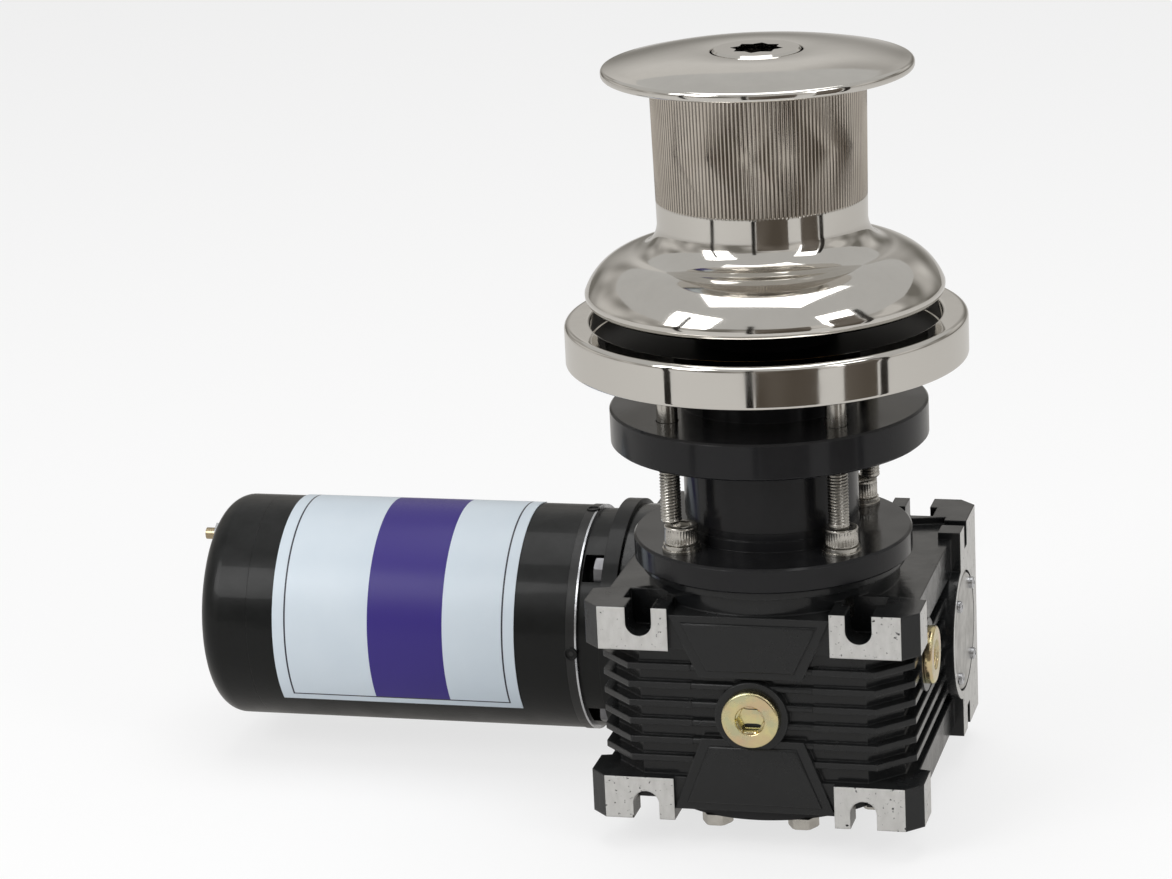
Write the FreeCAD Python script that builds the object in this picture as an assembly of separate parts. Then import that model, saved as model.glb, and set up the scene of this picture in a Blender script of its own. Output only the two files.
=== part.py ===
"""Vertical deck capstan: drum and deck ring above the deck, worm gearbox and motor below it.

Frame: +Z up along the drum's axis, origin at the centre of the deck ring's underside, millimetres.
The worm and motor axis runs along X, behind the drum's axis, with the motor towards -X.
"""
import FreeCAD
import Part
import math
import os

V = FreeCAD.Vector
X_AXIS, Y_AXIS, Z_AXIS = V(1, 0, 0), V(0, 1, 0), V(0, 0, 1)

# ---------------------------------------------------------------- clearances
RUN_CLEAR = 0.05        # radial running fit of a shaft in its bush or bearing
SEAT_GAP = 0.3          # between two cones, or a rotating face and a fixed one
AIR_GAP = 1.5           # armature to magnets
HOLE_CLEAR = 0.5        # radial, screw or stud in its hole

# ---------------------------------------------------------------- deck ring
RING_R = 95.0
RING_H = 20.0
RING_EDGE = 2.0         # rounding of the outer top edge
RECESS_R = 83.0
RING_FLOOR = 10.0
RING_HUB_R = 34.0
RING_HUB_TOP = 22.0
SPIGOT_SEAT = 4.0       # how far the spigot enters the ring's underside
BUSH_WALL = 5.0

# ---------------------------------------------------------------- main shaft
SHAFT_R = 15.0
SHAFT_END_FLOOR = 5.0   # bottom cover left under the shaft end
SHAFT_END_ROOM = 3.0
THREAD_R = 12.0
SHOULDER_Z = 112.0
THREAD_LEN = 21.0

# ---------------------------------------------------------------- drum
LIP_Z = 29.0
LIP_R = 82.5
FLARE_R = 84.5
FLARE_Z = 34.0
FLARE_MID = (77.4, 44.7)
FLARE_TOP = (62.5, 52.2)
FILLET_MID = (53.2, 56.6)
FILLET_Z = 66.0
WAIST_R = 49.3
NECK_R = 50.5
DISC_R = 72.7
DISC_Z = 135.6
DISC_RIM = 4.6
DOME_RISE = 5.6
DISC_EDGE = 1.6
DRUM_WALL_R = 76.0
DRUM_CEILING_Z = 46.0
SKIRT_R = 44.0
SKIRT_Z = 30.0
DRUM_BUSH_WALL = 3.0
DRUM_BUSH_TOP = 100.0

# ---------------------------------------------------------------- clutch
CONE_R = 36.0
CONE_TOP_R = 30.0
CONE_RIM_H = 5.0
CONE_TOP_Z = 44.0
WASHER_R = 20.8
WASHER_LOW_R = 17.0
WASHER_H = 11.2
NUT_R = 20.7
NUT_PROUD = 0.8         # above the crown of the drum
NUT_FACE_GAP = 0.1
NUT_BORE_CLEAR = 0.8    # round the nut in the drum's crown
SOCKET_SQUARE = 17.7    # side of each of the two squares of the handle socket
SOCKET_DEPTH = 12.0

# ---------------------------------------------------------------- mounting spool
TUBE_R = 41.6
SPOOL_BORE_R = 30.0
UP_FLANGE_R = TUBE_R + 33.9
UP_FLANGE_TOP = -22.0
UP_FLANGE_H = 17.5
LOW_FLANGE_R = TUBE_R + 24.9
LOW_FLANGE_TOP = -85.0
LOW_FLANGE_H = 12.0
FLANGE_EDGE = 1.0
TUBE_GROOVE_Z = -76.0
TUBE_GROOVE_W = 4.0
TUBE_GROOVE_D = 0.8
SEAL_H = 10.0

# ---------------------------------------------------------------- studs and flange screws
STUD_R = 5.0
STUD_PCD_R = TUBE_R + 14.9
STUD_END_Z = -71.5
STUD_IN_RING = 8.0
STUD_GRIP_Z = -40.5     # shank above this, thread below
STUD_THREAD_DEPTH = 0.35
SCREW_R = 5.0
SCREW_HEAD_R = 8.0
SCREW_HEAD_H = 9.0
SCREW_HEX = 8.0
SCREW_IN_BOX = 20.0
SCREW_PCD_R = TUBE_R + 11.9
SCREW_TURN = 3.5        # degrees that the screws sit round from the studs
WASHER_OUT_R = 9.2
WASHER_T = 1.5
SPRING_OUT_R = 8.6
SPRING_T = 2.0

# ---------------------------------------------------------------- gearbox
WORM_Y = 70.0           # centre distance of worm and wheel
GEAR_Z = -159.5
PAD_HALF_Z = 53.0       # gearbox mid height to the pads' outer edges
PAD_H = 21.0
FRONT_Y = -64.0
REAR_Y = 116.0
SIDE_X = 80.0
PAD_OUT_X = 72.2
PAD_IN_X = 38.5
PAD_DEPTH = 24.0
SIDE_PAD_W = 26.0
CORE_X = 69.0
CORE_INSET = 6.0        # casing wall behind the pads' faces
CORE_CHAMFER = 15.0
PLATE_X = 75.0
PLATE_INSET = 3.0
PLATE_CHAMFER = 16.0
BOX_TOP = -110.0
BOX_BOTTOM = -207.0
FIN_PITCH = 9.2
FIN_T = 3.0
FIN_COUNT = 6
FIN_CLEAR_X = 29.0      # the fins stop short of the middle of the front
SLOT_X = 52.3
SLOT_W = 12.6
SLOT_DEPTH = 14.0
SLOT_PAD_T = 14.0
POCKET_W = 20.0
POCKET_BELOW = 10.0     # slot end's centre to the nut pocket's floor
TRAP_WIDE_X = 38.5
TRAP_NARROW_X = 24.5
TRAP_UP_Z = -140.5
TRAP_LOW_Z = -171.0
TRAP_INSET = 1.5
HUB_R = SCREW_PCD_R + 6.5
TOP_HUB_STEP_R = SCREW_PCD_R + 1.5
TOP_HUB_STEP_H = 4.0
FLANK_FRONT_Y = 62.0    # front edges of the +X foot face's two legs
FLANK_R = 34.0          # of its ring round the worm end cover
FLANK_SLOT_Y = 78.0
FLANK_SLOT_W = 7.6
FLANK_SLOT_DEPTH = 12.0
PLUG_BOSS_R = 17.5
PLUG_BOSS_PROUD = 0.5
WORM_BORE_R = 30.0
WHEEL_SPACE = 2.25      # round the wheel's tips
WHEEL_SPACE_Z = 4.0
COVER_R = 60.0
COVER_H = 5.0
COVER_SPIGOT_R = 48.0
COVER_HUB_R = 20.0
COVER_HUB_LEN = 22.0
COVER_HUB_BOTTOM = BOX_BOTTOM - COVER_HUB_LEN
COVER_BOLTS = 8
COVER_BOLT_PCD_R = 54.3
BOLT_R = 4.0
BOLT_AF = 13.0
BOLT_HEAD_H = 5.3
BOLT_LEN = 16.0

# ---------------------------------------------------------------- oil plugs
PLUG_R = 13.9
PLUG_HEAD_H = 4.0
PLUG_NECK_R = 11.0
PLUG_NECK_LEN = 8.0
PLUG_HEX = 12.0
PLUG_HEX_DEPTH = 6.0
SIDE_PLUG_Y = -14.0
SIDE_PLUG_Z = -142.0

# ---------------------------------------------------------------- worm and wheel
MODULE = 2.75
WHEEL_TEETH = 32
WHEEL_W = 24.0
WHEEL_HUB_LEN = 28.0
RIM_IN_R = 34.0
TOOTH_PLAY = 0.6        # taken off the thread and added to the gap
PRESSURE = math.tan(math.radians(20.0))
KEY_W = 8.0
KEY_H = 7.0
KEY_PLAY = 0.1
BEARING_R = 31.0
BEARING_H = 16.0
BEARING_SPLIT_R = 23.0
UP_BEARING_TOP = -100.0
LOW_BEARING_TOP = BOX_BOTTOM + 8.0
SPACER_R = 20.0
WORM_SHAFT_R = 10.0
WORM_TURNS = 6
WORM_BEARING_R = 23.5
WORM_BEARING_W = 14.0
WORM_BEARING_SPLIT_R = 16.8
WORM_BEARING_X = (-70.0, 50.0)
END_COVER_R = 29.5
END_COVER_T = 5.0
END_COVER_SCREW_R = 2.5
END_COVER_PCD_R = 26.4

# ---------------------------------------------------------------- motor
MOTOR_R = 56.5
CASING_T = 4.0
MOTOR_FLANGE_R = MOTOR_R + 4.0
MOTOR_FLANGE_T = 8.0
NECK_END_X = -84.0
NECK_R_OUT = MOTOR_R + 1.5
CAP_SEAM_X = -109.5
CAP_BOSS_LEN = 10.0     # of the front cap, inside the casing
CASING_END_X = -276.0
MOTOR_END_X = -303.0
REAR_ROUND = 12.0
CAP_BODY_R = MOTOR_R - 1.5
SEAM_RING_W = 5.5
SEAM_RING_PROUD = 0.4
MOTOR_BOLT_PCD_R = MOTOR_R - 6.0
MOTOR_BOLT_LEN = 12.0
BOLT_SPACE_R = 8.5      # spanner room cut in the cap round each bolt head
ARM_SHAFT_R = 8.5
SHAFT_TAIL = 2.0        # of the armature shaft, past the rear bearing
ARM_BEARING_R = 20.0
ARM_BEARING_SPLIT_R = 14.0
ARM_BEARING_W = 12.0
ARM_BEARING_X = (-118.0, -295.0)
MAGNET_T = 8.0
MAGNET_SPAN = 70.0
MAGNET_TURN = 63.0
MAGNET_X = (-250.0, -140.0)
ARM_CORE_LEN = 100.0
WINDING_LEN = 14.0
WINDING_R = MOTOR_R - 20.5
COMM_R = 20.0
COMM_LEN = 18.0
BRUSH_RING_R = MOTOR_R - 20.5
BRUSH_RING_LEN = 14.0
BRUSH_W = 8.0
SLEEVE_R = 14.0
SLEEVE_LEN = 24.0
TIE_BOLT_R = 3.0
TIE_HEAD_R = 5.0
TIE_HEAD_H = 4.0
TIE_PCD_R = MOTOR_R - 10.0
TIE_NOTCH_R = 8.0
TIE_NOTCH_D = 10.0
TIE_ANGLES = (MAGNET_TURN + 45.0, MAGNET_TURN + 225.0)   # between the magnets
TERM_R = 3.0
TERM_SHANK_R = 3.5      # through the cap and the nut
TERM_OUT = 11.0
TERM_ANGLES = (90.0, 145.0)
TERM_PCD_R = MOTOR_R - 19.5
TERM_INSULATOR_R = 7.0
TERM_INSULATOR_H = 2.5
TERM_NUT_AF = 10.0
TERM_NUT_H = 3.0
LABEL_X = (-262.0, -136.0)
LABEL_T = 0.4
LABEL_GLUE = 0.05       # adhesive under the label
LABEL_ANGLES = (-62.0, 84.0)    # above and below the front of the casing


# ---------------------------------------------------------------- shape helpers
def zcyl(r, z0, z1, x=0.0, y=0.0):
    return Part.makeCylinder(r, z1 - z0, V(x, y, z0), Z_AXIS)


def ztube(ro, ri, z0, z1, x=0.0, y=0.0):
    return zcyl(ro, z0, z1, x, y).cut(zcyl(ri, z0 - 1, z1 + 1, x, y))


def xcyl(r, x0, x1, y=WORM_Y, z=GEAR_Z):
    return Part.makeCylinder(r, x1 - x0, V(x0, y, z), X_AXIS)


def xtube(ro, ri, x0, x1):
    return xcyl(ro, x0, x1).cut(xcyl(ri, x0 - 1, x1 + 1))


def box(x0, x1, y0, y1, z0, z1):
    return Part.makeBox(x1 - x0, y1 - y0, z1 - z0, V(x0, y0, z0))


def prism(points, z0, z1):
    wire = Part.makePolygon([V(x, y, z0) for x, y in points + points[:1]])
    return Part.Face(wire).extrude(V(0, 0, z1 - z0))


def hex_prism(across, length):
    """Hexagonal prism of a width across flats, from z 0 upwards."""
    r = across / math.sqrt(3.0)
    return prism([(r * math.cos(math.radians(a)), r * math.sin(math.radians(a)))
                  for a in range(0, 360, 60)], 0.0, length)


def revolve(edges, axis_point=V(0, 0, 0), axis=Z_AXIS):
    return Part.Face(Part.Wire(edges)).revolve(axis_point, axis, 360.0)


def lines(points):
    return [Part.makeLine(V(*a), V(*b)) for a, b in zip(points, points[1:])]


def turned(points):
    """Solid of revolution about Z from (radius, z) corners."""
    pts = [(r, 0.0, z) for r, z in points]
    return revolve(lines(pts + pts[:1]))


def turned_x(points):
    """Solid of revolution about the worm axis from (x, radius) corners."""
    pts = [(x, WORM_Y + r, GEAR_Z) for x, r in points]
    return revolve(lines(pts + pts[:1]), V(0, WORM_Y, GEAR_Z), X_AXIS)


def arc(a, b, c):
    return Part.Arc(V(a[0], 0, a[1]), V(b[0], 0, b[1]), V(c[0], 0, c[1])).toShape()


def union(shapes):
    first, rest = shapes[0], shapes[1:]
    return first.multiFuse(rest).removeSplitter() if rest else first


def moved(shape, at, turn=0.0, axis=Z_AXIS):
    out = shape.copy()
    out.rotate(V(0, 0, 0), axis, turn)
    out.translate(V(*at))
    return out


def polar(r, angle, z=0.0):
    a = math.radians(angle)
    return (r * math.cos(a), r * math.sin(a), z)


def worm_polar(r, angle, x):
    """A point round the worm axis; angle 0 is the front (-Y), 90 is up."""
    a = math.radians(angle)
    return (x, WORM_Y - r * math.cos(a), GEAR_Z + r * math.sin(a))


def facing_x(shape, at, sign=1):
    """Turns a piece built upwards from z 0 so that it points along +X or -X."""
    return moved(shape, at, 90.0 * sign, Y_AXIS)


NODES = {}


def node(name, *solids):
    NODES[name] = solids[0] if len(solids) == 1 else Part.makeCompound(list(solids))


# ---------------------------------------------------------------- derived sizes
SPOOL_BOTTOM = LOW_FLANGE_TOP - LOW_FLANGE_H
CROWN_Z = DISC_Z + DISC_RIM + DOME_RISE
NUT_TOP = CROWN_Z + NUT_PROUD
THREAD_TOP = SHOULDER_Z + THREAD_LEN
RING_BUSH_R = SHAFT_R + BUSH_WALL
DRUM_BUSH_R = SHAFT_R + DRUM_BUSH_WALL
SHAFT_BOTTOM = COVER_HUB_BOTTOM + SHAFT_END_FLOOR + SHAFT_END_ROOM
CONE_Z = RING_HUB_TOP + SEAT_GAP
WASHER_Z = SHOULDER_Z + SEAT_GAP
WASHER_TOP = WASHER_Z + WASHER_H
PAD_TOP = GEAR_Z + PAD_HALF_Z
PAD_BOTTOM = GEAR_Z - PAD_HALF_Z
COVER_BOTTOM = BOX_BOTTOM - COVER_H
WHEEL_R = MODULE * WHEEL_TEETH / 2.0
WHEEL_TIP_R = WHEEL_R + MODULE
WHEEL_ROOT_R = WHEEL_R - 1.25 * MODULE
WORM_R = WORM_Y - WHEEL_R
WORM_TIP_R = WORM_R + MODULE
WORM_ROOT_R = WORM_R - 1.25 * MODULE
PITCH = math.pi * MODULE
CASING_IN_R = MOTOR_R - CASING_T
MAGNET_IN_R = CASING_IN_R - MAGNET_T
ARM_R = MAGNET_IN_R - AIR_GAP
ARM_MID_X = sum(MAGNET_X) / 2.0
WORM_END_X = NECK_END_X - 1.0
SEAL_TOP = SPIGOT_SEAT


# ---------------------------------------------------------------- deck ring and spool
def make_deck_ring():
    ring = turned([(RING_BUSH_R, SPIGOT_SEAT), (TUBE_R, SPIGOT_SEAT), (TUBE_R, 0.0),
                   (RING_R, 0.0), (RING_R, RING_H - RING_EDGE), (RING_R - RING_EDGE * 0.3,
                   RING_H - RING_EDGE * 0.3), (RING_R - RING_EDGE, RING_H), (RECESS_R, RING_H),
                   (RECESS_R, RING_FLOOR), (RING_HUB_R, RING_FLOOR),
                   (RING_HUB_R, RING_HUB_TOP), (RING_BUSH_R, RING_HUB_TOP)])
    return ring.cut(Part.makeCompound([zcyl(STUD_R, -1.0, STUD_IN_RING, *polar(STUD_PCD_R, a)[:2])
                                       for a in range(45, 360, 90)]))


def make_spool():
    up_bottom = UP_FLANGE_TOP - UP_FLANGE_H
    edge = FLANGE_EDGE
    spool = turned([(SPOOL_BORE_R, SPOOL_BOTTOM), (LOW_FLANGE_R - edge, SPOOL_BOTTOM),
                    (LOW_FLANGE_R, SPOOL_BOTTOM + edge), (LOW_FLANGE_R, LOW_FLANGE_TOP - edge),
                    (LOW_FLANGE_R - edge, LOW_FLANGE_TOP), (TUBE_R, LOW_FLANGE_TOP),
                    (TUBE_R, TUBE_GROOVE_Z - TUBE_GROOVE_W),
                    (TUBE_R - TUBE_GROOVE_D, TUBE_GROOVE_Z - TUBE_GROOVE_W),
                    (TUBE_R - TUBE_GROOVE_D, TUBE_GROOVE_Z), (TUBE_R, TUBE_GROOVE_Z),
                    (TUBE_R, up_bottom), (UP_FLANGE_R - edge, up_bottom),
                    (UP_FLANGE_R, up_bottom + edge), (UP_FLANGE_R, UP_FLANGE_TOP - edge),
                    (UP_FLANGE_R - edge, UP_FLANGE_TOP), (TUBE_R, UP_FLANGE_TOP),
                    (TUBE_R, SPIGOT_SEAT), (SPOOL_BORE_R, SPIGOT_SEAT)])
    holes = [zcyl(STUD_R + HOLE_CLEAR, up_bottom - 1, UP_FLANGE_TOP + 1, *polar(STUD_PCD_R, a)[:2])
             for a in range(45, 360, 90)]
    holes += [zcyl(SCREW_R + HOLE_CLEAR, SPOOL_BOTTOM - 1, LOW_FLANGE_TOP + 1, *xy)
              for xy in screw_places()]
    return spool.cut(Part.makeCompound(holes))


def screw_places():
    return [polar(SCREW_PCD_R, a + SCREW_TURN)[:2] for a in range(45, 360, 90)]


def make_stud():
    """Plain shank above, thread drawn as shallow rings below the grip length."""
    rings, z = [], STUD_END_Z + 1.5
    while z < STUD_GRIP_Z:
        rings.append(ztube(STUD_R + 1, STUD_R - STUD_THREAD_DEPTH, z, z + 0.75))
        z += 1.5
    stud = turned([(0, STUD_END_Z), (STUD_R - 1.0, STUD_END_Z), (STUD_R, STUD_END_Z + 1.0),
                   (STUD_R, STUD_IN_RING), (0, STUD_IN_RING)])
    return stud.cut(Part.makeCompound(rings))


def cap_screw(r, head_r, head_h, across, length):
    """Socket head cap screw, its head standing on z 0."""
    head = turned([(0, 0), (head_r, 0), (head_r, head_h - 0.6), (head_r - 0.6, head_h), (0, head_h)])
    socket = moved(hex_prism(across, head_h), (0, 0, head_h * 0.45))
    return head.fuse(zcyl(r, -length, 0)).cut(socket).removeSplitter()


def hex_bolt(r, across, head_h, length):
    """Hexagon head bolt, its head standing on z 0."""
    head = hex_prism(across, head_h).common(
        Part.makeCone(across * 0.5 + head_h + 0.5, across * 0.5 - 0.1, head_h + 0.6))
    return head.fuse(zcyl(r, -length, 0)).removeSplitter()


node("deck_ring", make_deck_ring())
node("deck_ring_bush", ztube(RING_BUSH_R, SHAFT_R + RUN_CLEAR, SPIGOT_SEAT, RING_HUB_TOP))
node("mounting_spool", make_spool())
node("spool_shaft_seal", ztube(SPOOL_BORE_R, SHAFT_R + RUN_CLEAR, SEAL_TOP - SEAL_H, SEAL_TOP))
STUD = make_stud()
node("deck_studs", *[moved(STUD, polar(STUD_PCD_R, a)) for a in range(45, 360, 90)])
SCREW_SEAT = LOW_FLANGE_TOP + WASHER_T + SPRING_T
SCREW = cap_screw(SCREW_R, SCREW_HEAD_R, SCREW_HEAD_H, SCREW_HEX, SCREW_SEAT - SPOOL_BOTTOM + SCREW_IN_BOX)
node("spool_screws", *[moved(SCREW, (x, y, SCREW_SEAT)) for x, y in screw_places()])
node("spool_washers", *[ztube(WASHER_OUT_R, SCREW_R, LOW_FLANGE_TOP, LOW_FLANGE_TOP + WASHER_T, x, y)
                        for x, y in screw_places()])
node("spool_spring_washers", *[ztube(SPRING_OUT_R, SCREW_R, LOW_FLANGE_TOP + WASHER_T, SCREW_SEAT, x, y)
                               for x, y in screw_places()])


# ---------------------------------------------------------------- drum and clutch
def cone_r(z):
    """Radius of the drive cone's flank at a height."""
    low = CONE_Z + CONE_RIM_H
    return CONE_R + (CONE_TOP_R - CONE_R) * (z - low) / (CONE_TOP_Z - low)


def washer_r(z):
    """Radius of the clutch washer's flank at a height."""
    return WASHER_LOW_R + (WASHER_R - WASHER_LOW_R) * (z - WASHER_Z) / WASHER_H


def make_drum():
    crown_bore = NUT_R + NUT_BORE_CLEAR
    bush_r = DRUM_BUSH_R
    rim_top = DISC_Z + DISC_RIM
    outside = [
        arc((LIP_R, LIP_Z), (FLARE_R - 0.5, (LIP_Z + FLARE_Z) / 2.0 - 0.6), (FLARE_R, FLARE_Z)),
        arc((FLARE_R, FLARE_Z), FLARE_MID, FLARE_TOP),
        arc(FLARE_TOP, FILLET_MID, (WAIST_R, FILLET_Z)),
    ]
    outside += lines([(WAIST_R, 0, FILLET_Z), (NECK_R, 0, DISC_Z - DISC_EDGE),
                      (NECK_R + DISC_EDGE, 0, DISC_Z), (DISC_R - DISC_EDGE, 0, DISC_Z),
                      (DISC_R, 0, DISC_Z + DISC_EDGE), (DISC_R, 0, rim_top - DISC_EDGE),
                      (DISC_R - DISC_EDGE, 0, rim_top)])
    half = (DISC_R + crown_bore) / 2.0
    outside.append(arc((DISC_R - DISC_EDGE, rim_top), (half, rim_top + DOME_RISE * 0.8),
                       (crown_bore, CROWN_Z)))
    seat_low, seat_top = SKIRT_Z, CONE_TOP_Z + SEAT_GAP
    inside = [(crown_bore, CROWN_Z), (crown_bore, WASHER_TOP),
              (washer_r(WASHER_TOP) + SEAT_GAP, WASHER_TOP), (washer_r(WASHER_Z) + SEAT_GAP, WASHER_Z),
              (washer_r(WASHER_Z) + SEAT_GAP, DRUM_BUSH_TOP), (bush_r, DRUM_BUSH_TOP),
              (bush_r, seat_top), (cone_r(seat_top) + SEAT_GAP, seat_top),
              (cone_r(seat_low) + SEAT_GAP, seat_low), (SKIRT_R, SKIRT_Z),
              (SKIRT_R, DRUM_CEILING_Z), ((SKIRT_R + DRUM_WALL_R) / 2.0, DRUM_CEILING_Z),
              (DRUM_WALL_R, FLARE_Z + 2.0), (DRUM_WALL_R, LIP_Z + 3.0), (DRUM_WALL_R + 3.0, LIP_Z),
              (LIP_R, LIP_Z)]
    return revolve(outside + lines([(r, 0, z) for r, z in inside]))


def make_clutch_nut():
    z0 = WASHER_TOP + NUT_FACE_GAP
    nut = turned([(0, z0), (NUT_R, z0), (NUT_R, NUT_TOP - 1.0), (NUT_R - 1.0, NUT_TOP), (0, NUT_TOP)])
    half = SOCKET_SQUARE / 2.0
    floor = NUT_TOP - SOCKET_DEPTH
    square = box(-half, half, -half, half, floor, NUT_TOP + 1)
    return nut.cut(zcyl(THREAD_R + RUN_CLEAR, z0 - 1, floor)).cut(square).cut(
        moved(square, (0, 0, 0), 45.0)).removeSplitter()


def make_main_shaft():
    shaft = turned([(0, SHAFT_BOTTOM), (SHAFT_R - 1, SHAFT_BOTTOM), (SHAFT_R, SHAFT_BOTTOM + 1),
                    (SHAFT_R, SHOULDER_Z), (THREAD_R, SHOULDER_Z), (THREAD_R, THREAD_TOP - 1),
                    (THREAD_R - 1, THREAD_TOP), (0, THREAD_TOP)])
    return shaft.cut(wheel_key_slot()).cut(cone_key_slot())


def wheel_key_slot():
    half = WHEEL_HUB_LEN / 2.0
    return box(SHAFT_R - KEY_H / 2.0, SHAFT_R + KEY_H / 2.0, -KEY_W / 2.0, KEY_W / 2.0,
               GEAR_Z - half, GEAR_Z + half)


def cone_key_slot():
    return box(SHAFT_R - KEY_H / 2.0, SHAFT_R + KEY_H / 2.0, -KEY_W / 2.0, KEY_W / 2.0,
               CONE_Z + 1.0, CONE_TOP_Z - 1.0)


def make_drive_cone():
    cone = turned([(SHAFT_R, CONE_Z), (CONE_R, CONE_Z), (CONE_R, CONE_Z + CONE_RIM_H),
                   (CONE_TOP_R, CONE_TOP_Z), (SHAFT_R, CONE_TOP_Z)])
    return cone.cut(cone_key_slot())


node("drum", make_drum())
node("drum_bush", ztube(DRUM_BUSH_R, SHAFT_R + RUN_CLEAR, CONE_TOP_Z + SEAT_GAP, DRUM_BUSH_TOP))
node("main_shaft", make_main_shaft())
node("drive_cone", make_drive_cone())
node("drive_cone_key", cone_key_slot())
node("clutch_washer", turned([(THREAD_R + RUN_CLEAR, WASHER_Z), (WASHER_LOW_R, WASHER_Z),
                              (WASHER_R, WASHER_TOP), (THREAD_R + RUN_CLEAR, WASHER_TOP)]))
node("clutch_nut", make_clutch_nut())


# ---------------------------------------------------------------- gearbox housing
def block(half_x, front, rear, chamfer, z0, z1):
    """Upright block with chamfered corners."""
    c = chamfer
    return prism([(-half_x, front + c), (-half_x + c, front), (half_x - c, front), (half_x, front + c),
                  (half_x, rear - c), (half_x - c, rear), (-half_x + c, rear), (-half_x, rear - c)],
                 z0, z1)


def corner_pad(z0, z1):
    """Foot pad at the +X front corner, with its chamfer and side face."""
    c = SIDE_X - PAD_OUT_X
    back = FRONT_Y + PAD_DEPTH
    return prism([(PAD_IN_X, FRONT_Y), (PAD_OUT_X, FRONT_Y), (SIDE_X, FRONT_Y + c),
                  (SIDE_X, FRONT_Y + SIDE_PAD_W), (PAD_IN_X, back + PAD_DEPTH / 2.0)], z0, z1)


def foot_slot(upper):
    """U slot for a foot bolt and the open pocket behind it for the nut, +X front corner."""
    edge = PAD_TOP if upper else PAD_BOTTOM
    end = edge - SLOT_DEPTH if upper else edge + SLOT_DEPTH
    r = SLOT_W / 2.0
    centre = end + r if upper else end - r
    low, high = (centre, edge + 1) if upper else (edge - 1, centre)
    y0, y1 = FRONT_Y - 1, FRONT_Y + SLOT_PAD_T
    cut = box(SLOT_X - r, SLOT_X + r, y0, y1, low, high)
    cut = cut.fuse(Part.makeCylinder(r, y1 - y0, V(SLOT_X, y0, centre), Y_AXIS))
    z0, z1 = (centre - POCKET_BELOW, edge + 1) if upper else (edge - 1, centre + POCKET_BELOW)
    pocket = box(SLOT_X - POCKET_W / 2.0, SLOT_X + POCKET_W / 2.0, y1, y1 + SLOT_PAD_T, z0, z1)
    return cut.fuse(pocket)


def mirrored(shape, mid_y=None):
    """The shape with its copies at the other corners: across X, and front to rear if asked."""
    pair = [shape, shape.mirror(V(0, 0, 0), X_AXIS)]
    if mid_y is not None:
        pair += [s.mirror(V(0, mid_y, 0), Y_AXIS) for s in pair]
    return pair


def front_trapezoid(z_wide, z_narrow):
    """Raised flat on the middle of the front, wide at the box's end."""
    y = FRONT_Y + TRAP_INSET
    pts = [(-TRAP_WIDE_X, z_wide), (TRAP_WIDE_X, z_wide), (TRAP_NARROW_X, z_narrow),
           (-TRAP_NARROW_X, z_narrow)]
    wire = Part.makePolygon([V(x, y, z) for x, z in pts + pts[:1]])
    return Part.Face(wire).extrude(V(0, CORE_INSET, 0))


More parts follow.
